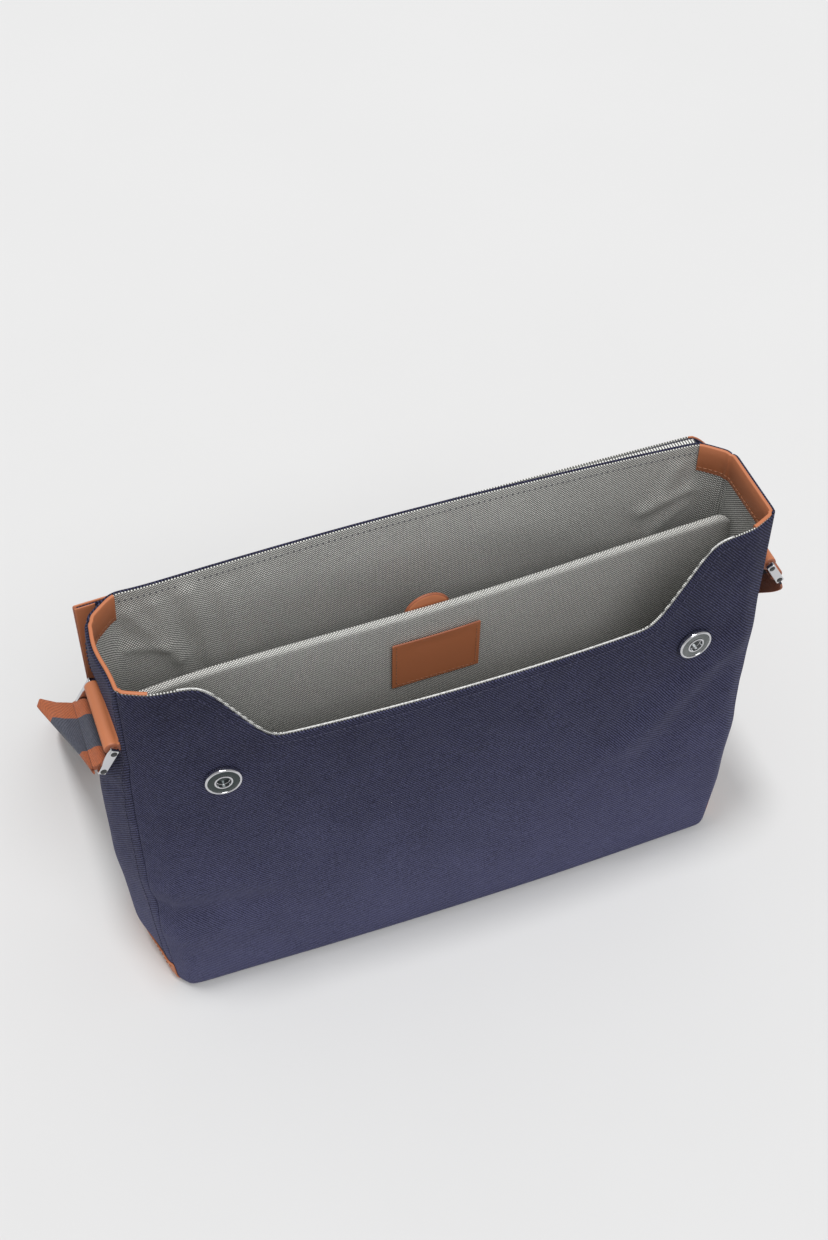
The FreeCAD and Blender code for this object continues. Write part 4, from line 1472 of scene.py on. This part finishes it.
# ------------------------------------------------------------------ magnetic snaps
@dataclass
class SocketSnaps:
    """Two magnetic snap sockets on the front panel."""

    shape: BagShape
    x: float = 149.0
    z: float = 220.0
    radius: float = 11.0
    thick: float = 3.2
    standoff: float = 0.2
    hole: float = 4.4
    hole_depth: float = 2.6
    magnet_radii: tuple[float, float] = (5.6, 9.4)
    magnet_heights: tuple[float, float] = (0.4, 1.7)
    washer_radii: tuple[float, float] = (3.0, 8.0)
    washer_heights: tuple[float, float] = (-1.2, -0.5)
    bevel: float = 0.1

    def bevelled_ring(self, radii: tuple[float, float],
                      heights: tuple[float, float]) -> list[tuple[float, float]]:
        """Closed section of a flat ring with broken edges.

        Args:
            radii: Inner and outer radius.
            heights: Lower and upper face.

        Returns:
            (radius, height) pairs, the first one repeated at the end.
        """
        inner, outer = radii
        low, high = heights
        bevel = self.bevel
        return [(inner + bevel, low), (outer - bevel, low), (outer, low + bevel), (outer, high - bevel),
                (outer - bevel, high), (inner + bevel, high), (inner, high - bevel), (inner, low + bevel),
                (inner + bevel, low)]

    def build(self) -> None:
        """Build and dress both sockets."""
        top = self.standoff + self.thick
        floor = top - self.hole_depth
        outer = [(self.radius - inward, height) for inward, height in (
            (0.5, self.standoff), (0.0, self.standoff + 0.4), (0.0, top - 0.9), (0.2, top - 0.4),
            (0.6, top - 0.08), (1.0, top), (1.35, top - 0.12), (1.6, top - 0.5), (1.65, top - 0.9))]
        inner = [(self.hole + 1.1, top - 0.8), (self.hole + 1.05, top - 0.2), (self.hole + 0.8, top + 0.02),
                 (self.hole + 0.35, top + 0.05), (self.hole + 0.08, top - 0.12), (self.hole, top - 0.5),
                 (self.hole, floor + 0.3), (self.hole - 0.3, floor)]
        face = [(self.radius - 1.6, top - 0.6), (self.radius - 2.0, top - 0.38),
                (self.hole + 2.6, top - 0.30),
                (self.hole + 1.3, top - 0.34), (self.hole + 1.0, top - 0.6)]
        well = [(self.hole - 0.1, floor + 0.1), (self.hole - 1.2, floor - 0.05),
                (1.4, floor), (0.0, floor + 0.05)]
        magnet = self.bevelled_ring(self.magnet_radii, self.magnet_heights)
        washer = self.bevelled_ring(self.washer_radii, self.washer_heights)
        magnets = []
        washers = []
        for side, sign in (("left", -1), ("right", 1)):
            centre, way = self.shape.front_place(sign * self.x, self.z)
            magnets.append(lathe("snap_magnet_" + side, magnet, centre, way))
            washers.append(lathe("snap_washer_" + side, washer, centre, way))
            rings = [lathe(f"snap_part_{side}_{index}", profile, centre, way, 96)
                     for index, profile in enumerate((outer, inner))]
            rim = joined("snap_rim_" + side, rings)
            replaced = ("snap_socket_caps",) if side == "left" else ()
            dress(rim, Finish.NICKEL, *replaced)
            dark = [lathe(f"snap_dark_{side}_{index}", profile, centre, way, 96)
                    for index, profile in enumerate((face, well))]
            # The right face carries a painted reflection in its colour.
            mirror = Finish.DARK_MIRROR if side == "left" else Finish.GREY_MIRROR
            dress(joined("snap_face_" + side, dark), mirror)
        dress(joined("snap_magnets", magnets), Finish.FERRITE, "snap_socket_magnets")
        dress(joined("snap_washers", washers), Finish.STEEL, "snap_socket_washers")


# ------------------------------------------------------------------ flap
@dataclass
class Flap:
    """The flap, hanging behind the bag from the rear rim, lining side out."""

    shape: BagShape
    half_width: float = 204.0
    canvas_y: float = 51.2
    canvas: float = 1.3
    gap: float = 0.2
    lining: float = 1.0
    band: float = 23.0
    binding: float = 12.0          # leather along each side of the canvas face
    top: float = 295.6
    droop: float = 8.5             # how much lower the turn of the flap hangs at its left end
    end_droop: float = 24.0        # how far its unsewn right end falls
    fold: float = 202.2
    fold_reach: float = 13.0
    bottom: float = 52.2
    corner: float = 16.0
    strip_low: float = 285.5
    strip_high: float = 297.0
    strip: float = 1.2
    turn_depth: float = 5.0        # height of the turned-over cloth
    stitch: StitchRow = field(default_factory=lambda: StitchRow(3.6, 2.7, 0.34))

    def rounded_bottom(self, x: np.ndarray) -> np.ndarray:
        """Height of the flap's free edge at each x, its corners rounded."""
        into = np.clip(self.corner - (self.half_width - np.abs(x)), 0, self.corner)
        return self.bottom + self.corner - np.sqrt(self.corner ** 2 - into ** 2)

    def turn_top(self, x: np.ndarray) -> np.ndarray:
        """Height at each x of the line where the flap turns over."""
        slope = self.droop * ((self.half_width - x) / (2 * self.half_width)) ** 3
        return self.top - slope - self.end_droop * np.clip((x - 182.0) / 22.0, 0, 1) ** 1.5

    def hang(self, x: np.ndarray, z: np.ndarray) -> np.ndarray:
        """How far the flap stands back from straight down."""
        down = np.clip((self.turn_top(x) - z) / (self.top - self.bottom), 0, 1)
        wave = 1.1 * np.sin(x / 46.0 + 0.6) * np.sin(math.pi * np.clip((z - self.bottom) / 145.0, 0, 1)) ** 2
        return 0.7 * np.sin(math.pi * down) + np.where(z < self.fold, wave + 0.9, 0.9 * down * 2) * down

    def layer(self, name: str, x_low: float, x_high: float, face_y: float, thickness: float,
              below: float = 0.0) -> bpy.types.Object:
        """One layer of the flap.

        Args:
            name: The piece's name.
            x_low: Its left edge.
            x_high: Its right edge.
            face_y: Depth of its outer, rear face.
            thickness: In millimetres.
            below: How far its upper edge stays below the turn.

        Returns:
            The layer.
        """
        columns = max(8, int((x_high - x_low) / 3.0))
        across = np.linspace(x_low, x_high, columns)
        shares = np.linspace(0, 1, 92)[:, None]
        low = self.rounded_bottom(across)[None, :]
        z = low + (self.turn_top(across)[None, :] - below - low) * shares
        x = np.broadcast_to(across, z.shape)
        y = face_y + self.hang(x, z)
        points = np.stack([x, y, z], axis=-1)[:, ::-1]
        made = piece(name, points.reshape(-1, 3), grid(len(shares), columns))
        thicken(made, thickness)
        lay_cloth(made, Weave.FACING)
        return made

    def bend_front(self, made: bpy.types.Object) -> None:
        """Bake a piece's placement into its mesh."""
        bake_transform(made)

    def layers(self) -> None:
        """Canvas, lining and the leather bands along both sides."""
        back = self.canvas_y + self.canvas + self.gap + self.lining
        shell = self.layer("flap_canvas", -self.half_width + 1.2, self.half_width - 1.2,
                           self.canvas_y + self.canvas, self.canvas, 0.6)
        dress(shell, Finish.CANVAS, "flap_bridge_canvas", "flap_front_canvas", body=None)
        self.bend_front(shell)
        inner = self.half_width - self.band - 0.2
        sheet = self.layer("flap_lining", -inner, inner, back, self.lining)
        dress(sheet, Finish.LINING, "flap_bridge_lining", "flap_front_lining", body=None)
        self.bend_front(sheet)
        for side, sign in (("left", -1), ("right", 1)):
            edges = sorted((sign * (self.half_width - self.band), sign * self.half_width))
            band = self.layer("flap_band_" + side, edges[0], edges[1], back + 0.1, self.lining + 0.2)
            replaced = ("flap_bridge_edges", "flap_front_edges") if side == "left" else ()
            dress(band, Finish.LEATHER, *replaced, body=None)
            self.bend_front(band)
            edges = sorted((sign * (self.half_width - self.binding), sign * self.half_width))
            binding = self.layer("flap_binding_" + side, edges[0], edges[1], self.canvas_y - 0.1, 0.8)
            dress(binding, Finish.LEATHER, body=None)
            self.bend_front(binding)
            for index, inset in enumerate((3.0, self.band - 3.0)):
                x = np.full(240, sign * (self.half_width - inset))
                z = np.linspace(self.bottom + 18.0, self.turn_top(x)[0] - 4.0, 240)
                path = np.stack([x, back + 0.15 + self.hang(x, z), z], axis=1)
                facing = np.tile([0.0, 1.0, 0.0], (240, 1))
                row = self.stitch.sew(f"flap_band_stitches_{side}_{index}", path, facing)
                dress(row, Finish.TAN_THREAD, body=None)
                self.bend_front(row)
            x = np.full(160, sign * (self.half_width - 0.45))
            z = np.linspace(self.bottom + self.corner, self.turn_top(x)[0] - 0.3, 160)
            path = np.stack([x, back - 1.3 + self.hang(x, z), z], axis=1)
            edge = tube("flap_edge_" + side, path, np.tile([0.0, 1.0, 0.0], (160, 1)), 1.25, 8)
            dress(edge, Finish.LEATHER_EDGE, body=None)
            self.bend_front(edge)
        x = np.linspace(-inner + 2, inner - 2, 260)
        z = np.full_like(x, self.bottom + 6.0)
        path = np.stack([x, back + 0.1 + self.hang(x, z), z], axis=1)
        hem = self.stitch.sew("flap_hem_stitches", path, np.tile([0.0, 1.0, 0.0], (260, 1)))
        dress(hem, Finish.GREY_THREAD, body=None)
        self.bend_front(hem)

    def root(self) -> None:
        """Strip on the rear panel, and the cloth that turns over from it into the flap."""
        span = self.shape.span(Panel.REAR)
        columns = span[self.shape.corner_columns:-self.shape.corner_columns]
        strip = self.shape.wall("hinge_strip_canvas", columns, self.strip_low, self.strip_high,
                                0.2 + self.strip, self.strip, 12)
        dress(strip, Finish.CANVAS, "flap_hinge_strip", weave=Weave.FACING)
        heights = np.full(len(columns), self.strip_low + 4.0)
        path = self.shape.at(columns, heights, 0.2 + self.strip + 0.1)
        dress(self.stitch.sew("hinge_strip_stitches", path, self.shape.outward_at(columns, heights)),
              Finish.NAVY_THREAD)
        root = self.shape.at(columns, np.full(len(columns), self.top), 0.3 + self.strip)
        x, near = root[:, 0], root[:, 1]
        for name, lift, finish in (("flap_turn_canvas", 0.0, Finish.CANVAS),
                                   ("flap_turn_lining", 1.5, Finish.LINING)):
            far = self.canvas_y + 0.6 + lift
            crown = self.turn_top(x) + lift * 0.4 - 1.6
            rows = []
            for turn in np.linspace(0, math.pi, 15):
                y = near + (far - near) * (1 - math.cos(turn)) / 2
                z = crown - self.turn_depth * (1 - math.sin(turn) ** 0.6)
                rows.append(np.stack([x, y, z], axis=1))
            made = piece(name, np.concatenate(rows), grid(len(rows), len(x)))
            thicken(made, 0.7, 0.3)
            dress(made, finish, body=None)
            lay_cloth(made, Weave.FACING)
            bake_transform(made)

    def build(self) -> None:
        """Build and dress everything."""
        self.root()
        self.layers()


# ------------------------------------------------------------------ rings
class Side(Enum):
    """The bag's two ends."""

    LEFT = -1
    RIGHT = 1

    @property
    def word(self) -> str:
        """The side's name as the nodes have it."""
        return self.name.lower()


@dataclass
class StrapRing:
    """One rectangular ring with its leather tube and the webbing sewn round it."""

    side: Side
    axis_x: float = 205.094
    axis_z: float = 250.0
    drop: float = 15.0
    angle: float = 30.0
    bar: float = 2.2
    leg_thick: float = 3.2
    leg_width: float = 5.2
    inner: float = 24.6
    half_webbing: float = 24.0
    webbing: float = 1.6
    tube_radius: float = 4.7
    gusset_x: float = 200.3
    loop_reach: float = 5.5
    rise: float = 12.0
    fall: float = 66.0

    @property
    def body(self) -> str:
        """Body that the ring turns as."""
        return "ring_" + self.side.word

    def axis(self) -> Vector:
        """Middle of the upper bar."""
        return Vector((self.side.value * self.axis_x, 0, self.axis_z))

    def lower(self) -> Vector:
        """Middle of the lower bar."""
        lean = math.radians(self.angle)
        away = self.side.value * self.drop * math.sin(lean)
        return self.axis() + Vector((away, 0, -self.drop * math.cos(lean)))

    def loop_way(self) -> Vector:
        """Way the webbing leaves the lower bar."""
        if self.side is Side.LEFT:
            rise = math.radians(self.rise)
            return Vector((-math.cos(rise), 0, math.sin(rise)))
        fall = math.radians(self.fall)
        return Vector((math.cos(fall), 0, -math.sin(fall)))

    def ring(self) -> None:
        """Two bars and two flat legs in nickel, with black bar ends."""
        word = self.side.word
        half = self.inner + self.leg_thick
        parts = []
        caps = []
        profile = [(0, -half + 0.4), (self.bar - 0.3, -half + 0.4), (self.bar, -half + 0.7),
                   (self.bar, half - 0.7), (self.bar - 0.3, half - 0.4), (0, half - 0.4)]
        cap = [(0, -0.1), (1.75, -0.1), (1.9, 0.0), (1.9, 0.25), (1.7, 0.4), (0, 0.45)]
        for index, centre in enumerate((self.axis(), self.lower())):
            parts.append(lathe(f"bar_{word}_{index}", profile, centre, Vector((0, 1, 0)), 32))
            for end in (-1, 1):
                where = centre + Vector((0, end * (half - 0.15), 0))
                caps.append(lathe(f"cap_{word}_{index}_{end}", cap, where, Vector((0, end, 0)), 24))
        run = self.lower() - self.axis()
        turn = Matrix.Rotation(math.atan2(run.x, run.z) + math.pi, 4, "Y")
        for end in (-1, 1):
            ys = sorted((end * self.inner, end * half))
            leg = block(f"leg_{word}_{end}", (-self.leg_width / 2, ys[0], -self.drop - self.leg_width / 2),
                        (self.leg_width / 2, ys[1], self.leg_width / 2))
            leg.data.transform(Matrix.Translation(self.axis() * MM) @ turn)
            round_edges(leg, 0.7)
            parts.append(leg)
        dress(joined("ring_metal_" + word, parts), Finish.NICKEL, "strap_ring_" + word, body=self.body)
        dress(joined("ring_bar_ends_" + word, caps), Finish.BAR_CAP, body=self.body)

    def prism(self, name: str, outline: Sequence[tuple[float, float]], stations: Sequence[float],
              shrink: Sequence[float]) -> bpy.types.Object:
        """Closed XZ outline carried along Y.

        Args:
            name: The piece's name.
            outline: (x, z) points.
            stations: Y of each section.
            shrink: How far each section is drawn in towards its middle.

        Returns:
            The piece.
        """
        flat = np.array(outline)
        middle = flat.mean(axis=0)
        rows = []
        for y, inwards in zip(stations, shrink):
            section = flat - inwards * unit(flat - middle)
            rows.append(np.stack([section[:, 0], np.full(len(flat), y), section[:, 1]], axis=1))
        faces = grid(len(rows), len(flat), closed=True)
        last = (len(rows) - 1) * len(flat)
        faces.append(tuple(range(len(flat) - 1, -1, -1)))
        faces.append(tuple(range(last, last + len(flat))))
        made = piece(name, np.concatenate(rows), faces)
        weld(made)
        return made

    def leather_tube(self) -> None:
        """Leather wrapped round the upper bar and let into the gusset."""
        sign = self.side.value
        centre = self.axis()
        outline = []
        for angle in range(42, 319, 12):
            turn = math.radians(angle)
            outline.append((centre.x - sign * self.tube_radius * math.cos(turn),
                            centre.z + self.tube_radius * math.sin(turn)))
        wall = sign * (self.gusset_x - 1.2)
        outline += [(wall, centre.z - 3.0), (wall, centre.z + 3.0)]
        half = self.half_webbing
        stations = [-half, -half + 0.15, -half + 0.5, -half + 1.2]
        stations += list(np.linspace(-half + 4, half - 4, 12)) + [half - 1.2, half - 0.5, half - 0.15, half]
        shrink = [0.75, 0.35, 0.08, 0.0] + [0.0] * 12 + [0.0, 0.08, 0.35, 0.75]
        made = self.prism("ring_tube_" + self.side.word, outline, stations, shrink)
        dress(made, Finish.LEATHER, "ring_tab_" + self.side.word)
        made.data.materials.append(Finish.LEATHER_EDGE.material())
        for face in made.data.polygons:
            face.material_index = int(abs(face.normal.y) > 0.6)

    def webbing_loop(self) -> None:
        """Webbing turned round the lower bar and sewn to itself."""
        centre = self.lower()
        way = self.loop_way()
        across = Vector((-way.z, 0, way.x))
        radius = self.bar + 0.2 + self.webbing
        outline = []
        for angle in range(36, 325, 12):
            turn = math.radians(angle)
            place = centre + way * (radius * math.cos(turn)) + across * (radius * math.sin(turn))
            outline.append((place.x, place.z))
        for reach, height in ((self.loop_reach - 0.6, -self.webbing), (self.loop_reach, -self.webbing + 0.3),
                              (self.loop_reach, self.webbing - 0.3), (self.loop_reach - 0.6, self.webbing)):
            place = centre + way * reach + across * height
            outline.append((place.x, place.z))
        half = self.half_webbing
        stations = [-half, -half + 0.4, -half + 0.9] + list(np.linspace(-half + 3, half - 3, 15))
        stations += [half - 0.9, half - 0.4, half]
        stations[6] = -half / 2
        stations[14] = half / 2
        shrink = [0.5, 0.12, 0.0] + [0.0] * 15 + [0.0, 0.12, 0.5]
        made = self.prism("strap_loop_" + self.side.word, outline, stations, shrink)
        points = corners_of(made)
        spot = points - np.array(list(centre))
        turn = np.arctan2(spot @ np.array(list(across)), spot @ np.array(list(way)))
        lay_cloth(made, runs=np.stack([points[:, 1], radius * turn], axis=1))
        dress_webbing(made, points[:, 1], half, ("strap_end_" + self.side.word,), self.body)

    def build(self) -> None:
        """Build and dress everything."""
        self.ring()
        self.leather_tube()
        self.webbing_loop()


def dress_webbing(made: bpy.types.Object, across: np.ndarray, half: float, replaced: Sequence[str],
                  body: str | None) -> None:
    """Dress a webbing piece in its three stripes.

    Args:
        made: The piece.
        across: Distance of each corner from the webbing's middle line.
        half: Half the webbing's width.
        replaced: CAD nodes that it replaces.
        body: The body it rides on, or None to leave it unattached.
    """
    dress(made, Finish.WEBBING_TAN, *replaced, body=body)
    made.data.materials.append(Finish.WEBBING_SLATE.material())
    for face in made.data.polygons:
        middle = np.mean([across[corner] for corner in face.vertices])
        face.material_index = int(abs(middle) < half / 2)


# ------------------------------------------------------------------ shoulder strap
def eased(knots: np.ndarray, values: np.ndarray, wanted: np.ndarray) -> np.ndarray:
    """Smooth curve through values that never overshoots them.

    Args:
        knots: Growing places along the curve.
        values: One row of numbers at each knot.
        wanted: Places to find.

    Returns:
        One row of numbers at each wanted place.
    """
    gaps = np.diff(knots)[:, None]
    slopes = np.diff(values, axis=0) / gaps
    tangents = np.zeros_like(values)
    tangents[0] = slopes[0]
    tangents[-1] = slopes[-1]
    first, second = slopes[:-1], slopes[1:]
    heavy = 2 * gaps[1:] + gaps[:-1]
    light = gaps[1:] + 2 * gaps[:-1]
    same = first * second > 0
    safe_first = np.where(same, first, 1.0)
    safe_second = np.where(same, second, 1.0)
    tangents[1:-1] = np.where(same, (heavy + light) / (heavy / safe_first + light / safe_second), 0.0)
    place = np.clip(np.searchsorted(knots, wanted) - 1, 0, len(knots) - 2)
    width = gaps[place]
    share = ((wanted - knots[place])[:, None]) / width
    return ((1 + 2 * share) * (1 - share) ** 2 * values[place]
            + share * (1 - share) ** 2 * width * tangents[place]
            + share ** 2 * (3 - 2 * share) * values[place + 1]
            + share ** 2 * (share - 1) * width * tangents[place + 1])


Station = tuple[tuple[float, float, float], tuple[float, float, float]]


@dataclass
class ShoulderStrap:
    """Striped webbing from ring to ring, over its fold and along the floor behind the bag."""

    left: StrapRing
    right: StrapRing
    half_bag: float = 200.0
    half_webbing: float = 24.0
    webbing: float = 1.6
    low: float = 1.0
    high: float = 3.4
    row: float = 242.0
    flat: float = 62.0
    first_reach: float = 5.7

    def left_route(self) -> list[Station]:
        """Stations from the left ring over the fold to the floor."""
        bar = self.left.lower()
        way = self.left.loop_way()
        ring_z = self.left.axis_z
        side = -self.half_bag
        return [
            (tuple(bar + way * self.first_reach), (0, 1, 0)),
            (tuple(bar + way * 10.5 + Vector((0, 0.8, 0))), (-0.14, 0.989, 0.03)),
            (tuple(bar + Vector((-13.6, 1.8, 2.1))), (-0.27, 0.958, 0.08)),
            (tuple(bar + Vector((-14.6, 3.0, 0.4))), (-0.37, 0.92, 0.13)),
            (tuple(bar + Vector((-14.4, 5.5, -3.6))), (-0.38, 0.91, 0.15)),
            (tuple(bar + Vector((-12.6, 11.0, -12.0))), (-0.38, 0.91, 0.17)),
            ((side - 23, 32, 0.796 * ring_z), (-0.37, 0.91, 0.19)),
            ((side - 21, 78, 0.544 * ring_z), (-0.36, 0.91, 0.20)),
            ((side - 19, 124, 0.288 * ring_z), (-0.36, 0.92, 0.16)),
            ((side - 16, 158, 0.112 * ring_z), (-0.37, 0.925, 0.08)),
        ]

    def right_route(self) -> list[Station]:
        """Stations from the right ring to the floor."""
        bar = self.right.lower()
        way = self.right.loop_way()
        ring_z = self.right.axis_z
        side = self.half_bag
        return [
            (tuple(bar + way * self.first_reach), (0, 1, 0)),
            (tuple(bar + way * 13.0 + Vector((0.5, 4, 0))), (0.03, 0.99, 0.06)),
            ((side + 18.5, 22, 0.812 * ring_z), (0.10, 0.98, 0.16)),
            ((side + 18.5, 46, 0.688 * ring_z), (0.18, 0.96, 0.20)),
            ((side + 18.5, 86, 0.480 * ring_z), (0.27, 0.94, 0.20)),
            ((side + 18, 126, 0.268 * ring_z), (0.33, 0.93, 0.15)),
            ((side + 16, 160, 0.104 * ring_z), (0.37, 0.925, 0.08)),
        ]

    def floor_route(self) -> list[Station]:
        """Stations along the floor, left to right, the middle held up by the slide."""
        half = [
            ((-1.03 * self.half_bag, self.row - 64, self.low + 7.6), (-0.40, 0.916, 0.02)),
            ((-0.95 * self.half_bag, self.row - 50, self.low + 1.2), (-0.45, 0.893, 0)),
            ((-0.84 * self.half_bag, self.row - 36, self.low), (-0.42, 0.907, 0)),
            ((-0.70 * self.half_bag, self.row - 22, self.low), (-0.34, 0.940, 0)),
            ((-0.54 * self.half_bag, self.row - 10, self.low), (-0.22, 0.975, 0)),
            ((-self.flat - 12.0, self.row - 1, self.high - 0.6), (-0.06, 0.998, 0)),
            ((-self.flat, self.row, self.high), (0, 1, 0)),
        ]
        mirrored = [((-point[0], point[1], point[2]), (-way[0], way[1], way[2])) for point, way in half]
        return half + mirrored[::-1]

    def ribbon(self, name: str, stations: list[Station], first: int,
               last: int) -> tuple[bpy.types.Object, np.ndarray]:
        """Webbing between two stations.

        Args:
            name: The piece's name.
            stations: The whole route.
            first: Number of its first station.
            last: Number of its last station.

        Returns:
            The webbing, and each corner's distance from its middle line.
        """
        middle = np.array([station[0] for station in stations])
        way = np.array([station[1] for station in stations], float)
        count = len(middle)
        ahead = np.array([middle[min(i + 1, count - 1)] - middle[max(i - 1, 0)] for i in range(count)])
        skew = np.linalg.norm(np.cross(unit(ahead), way), axis=1, keepdims=True)
        reach = way * self.half_webbing / skew
        knots = np.concatenate([[0.0], np.cumsum(np.linalg.norm(np.diff(middle, axis=0), axis=1))])
        span = knots[last] - knots[first]
        wanted = np.linspace(knots[first], knots[last], int(span / 2.2) + 2)
        wanted = np.unique(np.concatenate([wanted, knots[first:last + 1]]))
        centre = eased(knots, middle, wanted)
        half = eased(knots, reach, wanted)
        along = unit(np.gradient(centre, wanted, axis=0))
        normal = unit(np.cross(along, half))
        places = np.linspace(-1, 1, 17)
        profile = [(share, 0.5 - 0.06 * (abs(share) > 0.97)) for share in places]
        profile += [(1.008, 0.22), (1.012, 0.0), (1.008, -0.22)]
        profile += [(share, -0.5 + 0.06 * (abs(share) > 0.97)) for share in places[::-1]]
        profile += [(-1.008, -0.22), (-1.012, 0.0), (-1.008, 0.22)]
        shares = np.array(profile)
        points = (centre[:, None, :] + half[:, None, :] * shares[None, :, :1]
                  + normal[:, None, :] * (shares[None, :, 1:] * self.webbing))
        count = len(profile)
        faces = grid(len(wanted), count, closed=True)
        end = (len(wanted) - 1) * count
        faces.append(tuple(range(count - 1, -1, -1)))
        faces.append(tuple(range(end, end + count)))
        made = piece(name, points.reshape(-1, 3), faces)
        across = np.tile(shares[:, 0] * self.half_webbing, len(wanted))
        lay_cloth(made, runs=np.stack([across, np.repeat(wanted, count)], axis=1))
        return made, across

    def slide(self) -> None:
        """Nickel slide with three bars over the webbing."""
        low, high = node_low("strap_slider"), node_high("strap_slider")
        wall = 3.6
        thick = 1.6
        bar = 4.4
        parts = [block("slide_plate", (low.x, low.y, low.z), (high.x, high.y, low.z + thick))]
        for index, y in enumerate((low.y, high.y - wall)):
            parts.append(block(f"slide_wall_{index}", (low.x, y, low.z), (high.x, y + wall, high.z)))
        middle = (low.x + high.x) / 2
        for index, x in enumerate((low.x, middle - bar / 2, high.x - bar)):
            parts.append(block(f"slide_bar_{index}", (x, low.y, high.z - thick), (x + bar, high.y, high.z)))
        for part in parts:
            round_edges(part, 0.55)
        dress(joined("strap_slide", parts), Finish.NICKEL, "strap_slider", body="slider")

    def build(self) -> None:
        """Build and dress everything."""
        left = self.left_route()
        floor = self.floor_route()
        right = self.right_route()[::-1]
        whole = left + floor + right
        first = len(left)
        last = len(left) + len(floor) - 1
        made, across = self.ribbon("webbing_left", whole, 0, first)
        dress_webbing(made, across, self.half_webbing, ("strap_run_left",), None)
        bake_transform(made)
        made, across = self.ribbon("webbing_floor", whole, first, last)
        dress_webbing(made, across, self.half_webbing, ("shoulder_strap",), "bag")
        made, across = self.ribbon("webbing_right", whole, last, len(whole) - 1)
        dress_webbing(made, across, self.half_webbing, ("strap_run_right",), None)
        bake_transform(made)
        self.slide()


# ------------------------------------------------------------------ hidden and carried-over parts
def dress_kept_nodes() -> None:
    """Give the CAD parts that stay as they are their finishes."""
    kept = {
        "base_board": Finish.BOARD,
        "flap_snap_studs": Finish.NICKEL, "flap_stud_washers": Finish.STEEL,
    }
    for name, finish in kept.items():
        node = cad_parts[name]
        node.data.materials.clear()
        node.data.materials.append(finish.material())
        for face in node.data.polygons:
            face.material_index = 0


# ------------------------------------------------------------------ studio
@dataclass
class Studio:
    """Pale floor, overhead soft light and the camera."""

    lens: float = 51.19
    place: tuple[float, float, float] = (-0.2573, -0.6170, 1.0504)
    turn: float = -21.24
    rise: float = 50.06
    roll: float = 1.22
    ambient: float = 0.48
    front: float = 1.20
    overhead: float = 1.50

    def floor(self) -> None:
        """Level sheet that fills the view."""
        reach = 6000.0
        points = np.array([(x * reach, y * reach, -0.02) for x, y in ((-1, -1), (1, -1), (1, 1), (-1, 1))])
        made = piece("studio_floor", points, [(0, 1, 2, 3)])
        made.data.materials.append(Finish.FLOOR.material())

    def lamp(self, name: str, strength: float, spread: float, way: tuple[float, float, float]) -> None:
        """Distant lamp.

        Args:
            name: Its name.
            strength: Power per square metre.
            spread: How wide it looks, in degrees; wider is softer.
            way: Direction that its light travels.
        """
        light = bpy.data.lights.new(name, "SUN")
        light.energy = strength
        light.angle = math.radians(spread)
        holder = bpy.data.objects.new(name, light)
        bpy.context.scene.collection.objects.link(holder)
        holder.rotation_euler = Vector(way).to_track_quat("-Z", "Y").to_euler()

    def lights(self) -> None:
        """Even ambient light, a soft light from the front and a softer one overhead."""
        world = bpy.data.worlds.new("studio")
        world.use_nodes = True
        bpy.context.scene.world = world
        background = world.node_tree.nodes["Background"]
        background.inputs["Color"].default_value = (1.0, 1.0, 1.0, 1.0)
        background.inputs["Strength"].default_value = self.ambient
        self.lamp("front", self.front, 34.0, (-0.04, 0.55, -0.83))
        self.lamp("overhead", self.overhead, 9.0, (0.10, -0.06, -1.0))

    def camera(self) -> None:
        """Camera, set as the scene's."""
        turn, rise, roll = (math.radians(angle) for angle in (self.turn, self.rise, self.roll))
        back = Vector((math.sin(turn) * math.cos(rise), -math.cos(turn) * math.cos(rise), math.sin(rise)))
        right = (-back).cross(Vector((0, 0, 1))).normalized()
        up = right.cross(-back).normalized()
        level = right * math.cos(roll) + up * math.sin(roll)
        upright = up * math.cos(roll) - right * math.sin(roll)
        data = bpy.data.cameras.new("view")
        data.lens = self.lens
        data.sensor_width = 36.0
        data.clip_end = 50.0
        holder = bpy.data.objects.new("view", data)
        bpy.context.scene.collection.objects.link(holder)
        frame_axes = Matrix((level, upright, back)).transposed().to_4x4()
        holder.matrix_world = Matrix.Translation(Vector(self.place)) @ frame_axes
        bpy.context.scene.camera = holder

    def build(self) -> None:
        """Set everything up."""
        self.floor()
        self.lights()
        self.camera()
        bpy.context.scene.view_settings.view_transform = "Standard"


def main() -> None:
    """Build the bag and its surroundings."""
    logging.basicConfig(level=logging.INFO, format="%(name)s %(message)s")
    shape = BagShape()
    scoop = Scoop()
    left = StrapRing(Side.LEFT)
    right = StrapRing(Side.RIGHT)
    assemblies = (
        SewnBody(shape, scoop), LeatherTrim(shape), PaddedDivider(shape), SocketSnaps(shape), Flap(shape),
        left, right, ShoulderStrap(left, right), Studio(),
    )
    for assembly in assemblies:
        LOG.info("building %s", type(assembly).__name__)
        assembly.build()
    dress_kept_nodes()


if __name__ == "__main__":
    main()
